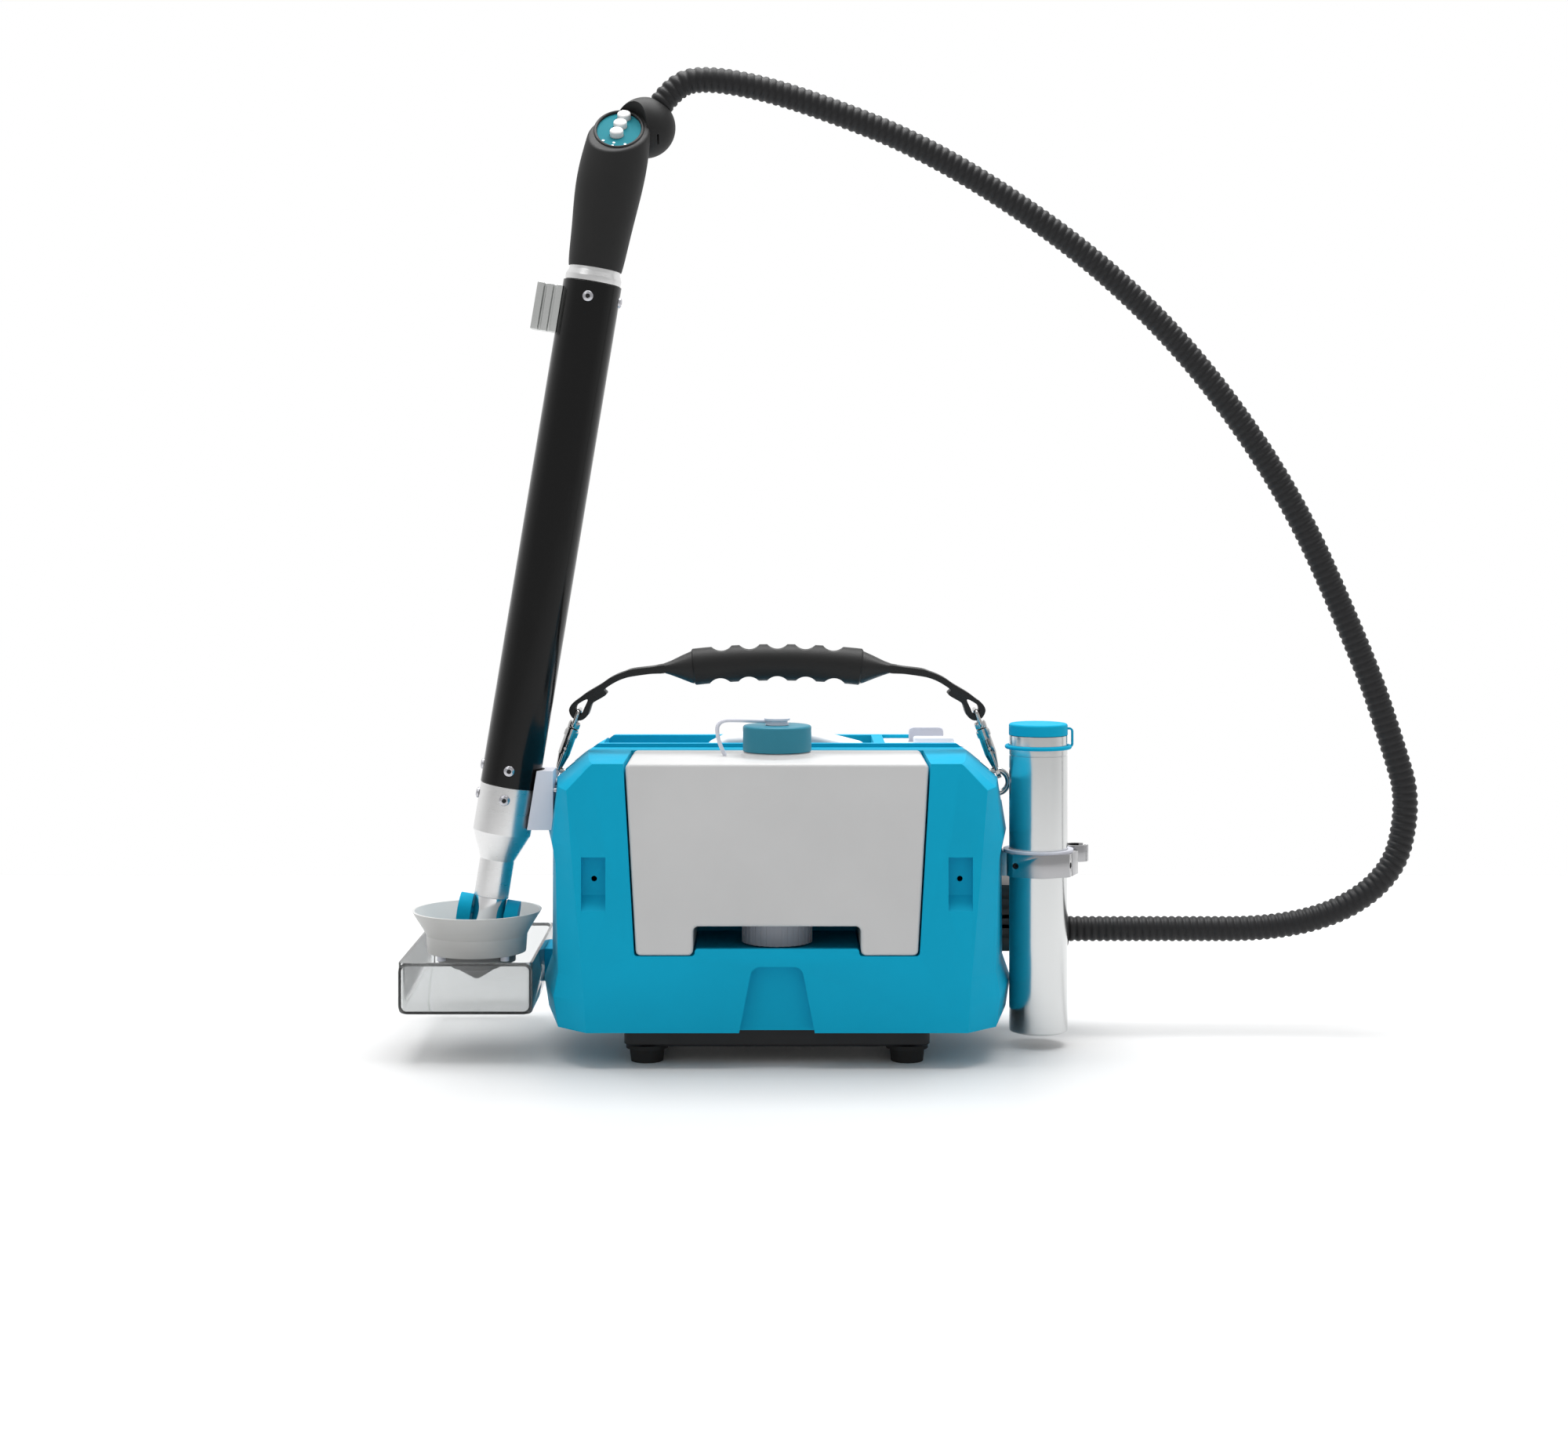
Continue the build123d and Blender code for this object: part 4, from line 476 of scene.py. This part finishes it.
FRONT, LEFT, REAR, RIGHT = -90, 180, 90, 0
SCREWS = ((421, FRONT), (421, REAR), (421, RIGHT), (14.3, FRONT), (14.3, LEFT), (14.3, REAR),
          (-10.7, FRONT), (-10.7, LEFT), (-10.7, REAR))
SCREW_FLAT_R = 24.5
heads, sockets = [], []
for t, turn in SCREWS:
    out = LANCE_RIGHT * math.cos(math.radians(turn)) + Vector((0, 1, 0)) * math.sin(math.radians(turn))
    place = frame_at(LANCE_FOOT + LANCE_DIR * t + out * SCREW_FLAT_R, out, LANCE_DIR)
    heads.append(lathe("screw_head", rounded([(1.9, -4), (1.9, 2.7), (2.6, 2.7), (4.5, 1.7), (4.75, 0), (2.5, 0),
                                              (2.5, -4)], [0, 0.2, 0.8, 0.8, 0, 0, 0]), place, steel, 40))
    # A near-black hexagon caps each head's bore: painted shade standing for the dark inside of the hex socket.
    sockets.append(extruded("screw_socket_shade", circle(0, 0, 1.95, 6), place @ Matrix.Translation((0, 0, 0.0008)), 1.0,
                            dark_screw_and_socket_shade, bevel=0))
stand(joined("screw_heads", heads), "lance", "lance_screws")
stand(joined("screw_socket_shades", sockets), "lance")


# Hose: its ribs follow the smooth line of the route

HOSE_POINTS = [
    (257.05, 50.0, 87.5),
    (330.0, 50.0, 87.5),
    (466.0, 50.0, 87.4),
    (544.4, 49.0, 129.4),
    (560.3, 47.5, 199.3),
    (544.6, 45.5, 251.7),
    (519.4, 43.5, 326.3),
    (443.6, 37.0, 493.6),
    (319.4, 29.0, 649.8),
    (150.6, 17.0, 767.8),
    (14.2, 8.0, 820.3),
    (-63.4, 0.0, 835.5),
    (-93.6, -4.0, 824.0),
    (-111.8, -6.0, 793.2),
]
HOSE_R = 11.1
HOSE_VALLEY_R = 9.9
RIB_PITCH = 6.4


def route_line(points):
    """Points read from the smooth line of a route."""
    curve = bpy.data.curves.new("route", "CURVE")
    curve.dimensions = "3D"
    curve.resolution_u = 60
    spline = curve.splines.new("NURBS")
    spline.points.add(len(points) - 1)
    for place, point in zip(spline.points, points):
        place.co = (*(c * MM for c in point), 1)
    spline.order_u = 3
    spline.use_endpoint_u = True
    obj = bpy.data.objects.new("route", curve)
    bpy.context.scene.collection.objects.link(obj)
    bpy.context.view_layer.update()
    mesh = bpy.data.meshes.new_from_object(obj.evaluated_get(bpy.context.evaluated_depsgraph_get()))
    line = [v.co.copy() for v in mesh.vertices]
    bpy.data.objects.remove(obj, do_unlink=True)
    return line


def at_lengths(line, lengths):
    """Points on a line at these distances along it."""
    runs = [0.0]
    for a, b in zip(line, line[1:]):
        runs.append(runs[-1] + (b - a).length)
    found, i = [], 0
    for want in lengths:
        while i < len(line) - 2 and runs[i + 1] < want:
            i += 1
        share = (want - runs[i]) / max(1e-9, runs[i + 1] - runs[i])
        found.append(line[i].lerp(line[i + 1], min(1.0, max(0.0, share))))
    return found


hose_line = route_line(HOSE_POINTS)
hose_length = sum((b - a).length for a, b in zip(hose_line, hose_line[1:]))
rib_count = round(hose_length / (RIB_PITCH * MM))
rib_step = hose_length / rib_count
RIB_SHAPE = ((0.0, 0.0), (0.14, 0.25), (0.28, 0.85), (0.40, 1.0), (0.60, 1.0), (0.72, 0.85), (0.86, 0.25))
stations, radii = [], []
for rib in range(rib_count):
    for share, height in RIB_SHAPE:
        stations.append((rib + share) * rib_step)
        radii.append((HOSE_VALLEY_R + (HOSE_R - HOSE_VALLEY_R) * height) * MM)
stations.append(hose_length)
radii.append(HOSE_VALLEY_R * MM)
hose_path = at_lengths(hose_line, stations)
hose = tube_along("ribbed_hose", hose_path, radii, hose_black, sides=28)
smooth(hose, 80)
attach(hose, "housing")
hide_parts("hose")


# Carry handle: straps with teardrop loops, and the tapering bodies of the snap hooks


def flowing(points, steps=5):
    """A smooth closed line through points."""
    out = []
    count = len(points)
    for i in range(count):
        p0, p1, p2, p3 = (Vector(points[(i + k) % count]) for k in (-1, 0, 1, 2))
        for k in range(steps):
            u = k / steps
            out.append(0.5 * (2 * p1 + (p2 - p0) * u + (2 * p0 - 5 * p1 + 4 * p2 - p3) * u * u
                              + (3 * p1 - p0 - 3 * p2 + p3) * u ** 3))
    return out


STRAP_EDGE = [(96, 325), (110, 323.4), (125.1, 321.6), (131.9, 319.4), (138.6, 316.9), (145.4, 313.4),
              (152.2, 308.7), (158.9, 304.7), (165.7, 300.6), (171.5, 296.2), (177.2, 291.8), (179.8, 286),
              (176.5, 279.4), (169.9, 277.4), (164, 281.4), (160.8, 290), (158.7, 292.9), (148.9, 298.7),
              (147.6, 301.2), (149.6, 303.6), (145.4, 307.1), (138.6, 311.1), (131.9, 313.8), (125.1, 315.4),
              (110, 317.5), (96, 318.7)]
STRAP_SLOT = [(163.8, 295.6), (171.6, 291.8), (174.4, 288), (174, 284.2), (171.5, 282.4), (168.7, 283.6),
              (167, 287.4)]
EYE = (171.5, 285.5)
RING_TOP = (190.3, 233.6)
CONE = ((72.0, 14.4, 14.4, 323.0, 2.0), (74.5, 14.0, 13.8, 323.0, 2.0), (83, 13.2, 10.2, 322.8, 2.2),
        (92, 12.2, 6.2, 322.3, 2.8), (99, 11.2, 3.6, 322.1, 4.0), (104, 11, 2.95, 321.8, 6.0))  # X, half Y, half Z, Z


def cone_mesh(side):
    """The grip's end, which draws in from round to the flat strap."""
    vertices, faces, count = [], [], 48
    for x, half_y, half_z, z, power in CONE:
        for k in range(count):
            turn = 2 * math.pi * k / count
            c, q = math.cos(turn), math.sin(turn)
            vertices.append(Vector((x * side, half_y * math.copysign(abs(c) ** (2 / power), c),
                                    z + half_z * math.copysign(abs(q) ** (2 / power), q))) * MM)
    for i in range(len(CONE) - 1):
        for k in range(count):
            m = (k + 1) % count
            faces.append((i * count + k, i * count + m, (i + 1) * count + m, (i + 1) * count + k))
    faces.append(tuple(range(count)))
    faces.append(tuple(range((len(CONE) - 1) * count, len(CONE) * count)))
    return mesh_object("grip_cone", vertices, faces, strap_black)


straps, bodies = [], []
for side in (1, -1):
    straps.append(cone_mesh(side))
    front = frame_at((0, 11, 0), (0, -1, 0), (1, 0, 0)) @ Matrix.Diagonal((side, 1, 1, 1))
    straps.append(extruded("strap", flowing(STRAP_EDGE), front, 22, strap_black, bevel=0.7,
                           holes=(flowing(STRAP_SLOT),)))
    near, far = Vector((EYE[0] * side, 0, EYE[1])), Vector((RING_TOP[0] * side, 0, RING_TOP[1]))
    along = frame_at(near, far - near, (0, 1, 0))
    bodies.append(lathe("swivel_collar", rounded([(0, 10.4), (4.4, 10.4), (5.1, 12), (5.1, 16), (4.2, 16.9),
                                                  (0, 16.9)], [0, 0.6, 0.6, 0.6, 0.5, 0]), along, chrome, 40))
    bodies.append(lathe("hook_collar", rounded([(0, 18.2), (5.6, 18.2), (6, 19.4), (6, 23.4), (5.5, 24.3), (0, 24.3)],
                                               [0, 0.5, 0.5, 0.6, 0.4, 0]), along, chrome, 40))
    slim = along @ Matrix.Translation((0.0031, 0, 0)) @ Matrix.Diagonal((0.52, 1, 1, 1))
    bodies.append(lathe("hook_body", rounded([(0, 38), (5.2, 38), (4.7, 42), (2.4, 54), (1.9, 57.5), (0, 57.5)],
                                             [0, 0.5, 1, 2, 1, 0]), slim, chrome, 40))
stand(joined("strap_pair", straps), "carry_handle", "carry_straps")
stand(joined("hook_bodies", bodies), "carry_handle")


# Canister, drip tray, touch panel and tether

CAN_AT = (224.3, -20)
can_place = Matrix.Translation((CAN_AT[0] * MM, CAN_AT[1] * MM, 0))
can_outline = [(0, 12.3), (25, 12.3), (25, 248.6), (24.5, 248.9), (24.5, 249.5), (25, 249.8), (25, 265.9), (18, 265.9)]
stand(lathe("canister_look", rounded(can_outline, [0, 1.6, 0, 0, 0, 0, 0.4, 0]), can_place, can_metal), "bottle",
      "canister")

TRAY_X, TRAY_Y, TRAY_Z = (-314.7, -203.0), (-95.0, 107.0), (40.5, 83.5)


def rim_line(y, inset=1.5, corner=6):
    """The rounded outline of the tray's end at this depth."""
    x0, x1 = TRAY_X[0] + inset, TRAY_X[1] - inset
    z0, z1 = TRAY_Z[0] + inset, TRAY_Z[1] - inset
    turns = ((x1 - corner, z1 - corner, 0), (x0 + corner, z1 - corner, 90), (x0 + corner, z0 + corner, 180),
             (x1 - corner, z0 + corner, 270))
    return [Vector((x, y, z)) * MM for cx, cz, start in turns for x, z in circle(cx, cz, corner, 8, start, 90.0001)]


# Dark beads round both end rims of the clear drip tray: painted shade drawing the dark edge line, not a part of the
# tray.
edges = []
for y in (TRAY_Y[0] + 1.5, TRAY_Y[1] - 1.5):
    line = rim_line(y)
    edges.append(tube_along("tray_rim_shade_bead", line, [1.35 * MM] * len(line), tray_rim_shade, 12, closed=True))
stand(smooth(joined("tray_rim_shade_beads", edges), 60), "housing")

PAD_CENTRE, PAD_TILT = Vector((-135.1, -34, 784.4)), math.radians(50.8)
PAD_OUT = Vector((0, -math.cos(PAD_TILT), math.sin(PAD_TILT)))
pad_place = frame_at(PAD_CENTRE, PAD_OUT, (1, 0, 0))
pad_turns = [2 * math.pi * k / 96 for k in range(96)]
pad_rim = [pad_place @ Vector((20.3 * MM * math.cos(turn), 29.4 * MM * math.sin(turn), -0.3 * MM))
           for turn in pad_turns]
stand(smooth(tube_along("pad_rim", pad_rim, [1.5 * MM] * 96, handle_black, 16, PAD_OUT, True), 60), "lance")

BUTTON_SPOTS = ((3.4, 20.5), (0.8, 6.5), (-1.6, -7.5))
for number, spot in enumerate(BUTTON_SPOTS, 1):
    place = pad_place @ Matrix.Translation((spot[0] * MM, spot[1] * MM, 0))
    cap = lathe(f"button_{number}_look", rounded([(0, -3), (5.8, -3), (5.8, 3.2), (4.6, 4.1), (0, 4.3)],
                                                 [0, 0, 1.2, 1.2, 0]), place, key_white, 48)
    stand(cap, f"key_{number}", f"button_{number}")

upright = frame_at((0, 83.5, 0), (0, -1, 0), (1, 0, 0))
lever_line = rounded([(133.5, 243), (149, 243), (149, 264), (118, 264), (118, 243), (133.5, 243)], [0, 0, 5, 5, 0, 0])
stand(extruded("lever_look", lever_line[:-1], upright, 7, lever_grey, bevel=1.2), "lever", "battery_lever")

RAIL_LINE = [(-45.5, -10), (-39.5, -10), (-39.5, -3), (-37.3, -3), (-37.3, -8.5), (-31.8, -8.5), (-31.8, -3),
             (-29.2, -3), (-29.2, -9.5), (-23.5, -9.5)]
rail_line = RAIL_LINE + [(x, -y) for x, y in reversed(RAIL_LINE)]
rail_place = lance_place @ Matrix.Translation((0, 0, 387 * MM))
stand(extruded("rail_look", rail_line, rail_place, 40.5, rail_silver, bevel=0.4), "lance", "accessory_rail")

TETHER_POINTS = [(-7, -50, 280.2), (-30, -50, 281.2), (-51.5, -50, 281), (-50, -50, 262), (-44, -50, 251.2)]
tether_line = route_line(TETHER_POINTS)
tether = tube_along("tether_look", tether_line, [1.7 * MM] * len(tether_line), pale, 16)
stand(smooth(tether, 60), "water_tank", "vent_tether")


# Everything else: CAD shapes with softened edges and their materials


def tank_front(a, b):
    return max(a.y, b.y) < -114.9


SOFT = {
    "housing_shell": (blue, 2.2, 7, 3),
    "base_pan": (black, 1.2, 25, 3),
    "tank": (white, 0.8, 25, 2, 4.5, tank_front),
    "dome_cover": (bright_white, 1.0, 25, 2),
    "battery_case": (battery_white, 0.8, 30, 2),
    "battery_block": (battery_white, 0.8, 30, 3),
    "hose_port": (port_grey, 0.6, 30, 2),
    "lance_bracket": (pale, 0.9, 30, 3),
    "canister_clamp": (clamp_silver, 0.5, 40, 2),
    "drip_tray": (tray_clear, 1.8, 30, 4),
}
for name, settings in SOFT.items():
    softened(name, *settings)

PLAIN = {
    "ring_pins": steel, "feet": rubber, "foot_screws": steel, "pump_head": black, "pump_motor": steel,
    "control_board": board_green, "tank_socket": dark, "water_line": rubber, "bracket_pad": rubber,
    "bracket_screws": steel, "tray_screws": steel, "clamp_liner": pale, "clamp_screws": dark_screw_and_socket_shade,
    "clip_lining": rubber, "hose_gland": black, "filler_cap": teal, "vent_plug": pale, "outlet_cap": rib_grey,
    "charge_lights": light_lens, "carry_grip": grip_rubber, "swivel_eyes": chrome, "snap_hooks": chrome,
    "steel_rings": chrome, "hook_bolt_left": chrome, "hook_bolt_right": chrome, "heater_core": brass,
    "lance_grip": handle_black, "touch_panel": panel, "indicator_lights": light_lens, "button_board": board_green,
    "yoke": blue, "splash_cup": cup_grey, "cutter_base": cutter_grey, "glides": pale, "cap_tether": blue,
    "canister_cap": blue,
}
for name, material in PLAIN.items():
    repaint(name, material)


# Floor, light and camera

floor_mesh = bpy.data.meshes.new("floor")
floor_mesh.from_pydata([(-1.7, -2.6, 0), (2.0, -2.6, 0), (2.0, 0.95, 0), (-1.7, 0.95, 0)], [], [(0, 1, 2, 3)])
floor = bpy.data.objects.new("floor", floor_mesh)
bpy.context.scene.collection.objects.link(floor)
floor_material, floor_tree, floor_bsdf = shader("floor_pale")
floor_place = object_coordinates(floor_tree)
tint(floor_tree, noise(floor_tree, floor_place, 2.0, 3), (0.66, 0.66, 0.66), 0.01, floor_bsdf.inputs["Base Color"])
floor_bsdf.inputs["Roughness"].default_value = 0.45
paint(floor, floor_material)

world = bpy.data.worlds.new("studio")
bpy.context.scene.world = world
world.use_nodes = True
sky = world.node_tree
sky_place = sky.nodes.new("ShaderNodeTexCoord")
sky_split = sky.nodes.new("ShaderNodeSeparateXYZ")
sky_range = node(sky, "ShaderNodeMapRange")
for key, value in {"From Min": -0.5, "From Max": 0.5, "To Min": 0.6, "To Max": 1.0}.items():
    sky_range.inputs[key].default_value = value
sky.links.new(sky_place.outputs["Generated"], sky_split.inputs["Vector"])
sky.links.new(sky_split.outputs["Y"], sky_range.inputs["Value"])
sky.links.new(sky_range.outputs["Result"], sky.nodes["Background"].inputs["Strength"])
sky.nodes["Background"].inputs["Color"].default_value = (1, 1, 1, 1)
bpy.context.scene.view_settings.view_transform = "Standard"


def area_light(name, place, target, size, power):
    data = bpy.data.lights.new(name, "AREA")
    data.shape = "RECTANGLE"
    data.size, data.size_y = size
    data.energy = power
    obj = bpy.data.objects.new(name, data)
    obj.location = place
    obj.rotation_euler = (Vector(target) - Vector(place)).to_track_quat("-Z", "Y").to_euler()
    bpy.context.scene.collection.objects.link(obj)
    return obj


area_light("key", (-1.6, -1.8, 2.4), (0, 0, 0.35), (1.4, 1.4), 6)
area_light("top", (0.1, 0.35, 2.7), (0.1, 0.1, 0.2), (2.6, 1.8), 100)

camera_data = bpy.data.cameras.new("camera")
camera_data.lens = 57.28
camera_data.sensor_width = 36
camera_data.shift_y = -0.13475
camera = bpy.data.objects.new("camera", camera_data)
camera.location = (0.0058, -2.164, 0.465)
camera.rotation_euler = (math.radians(90), 0, 0)
bpy.context.scene.collection.objects.link(camera)
bpy.context.scene.camera = camera
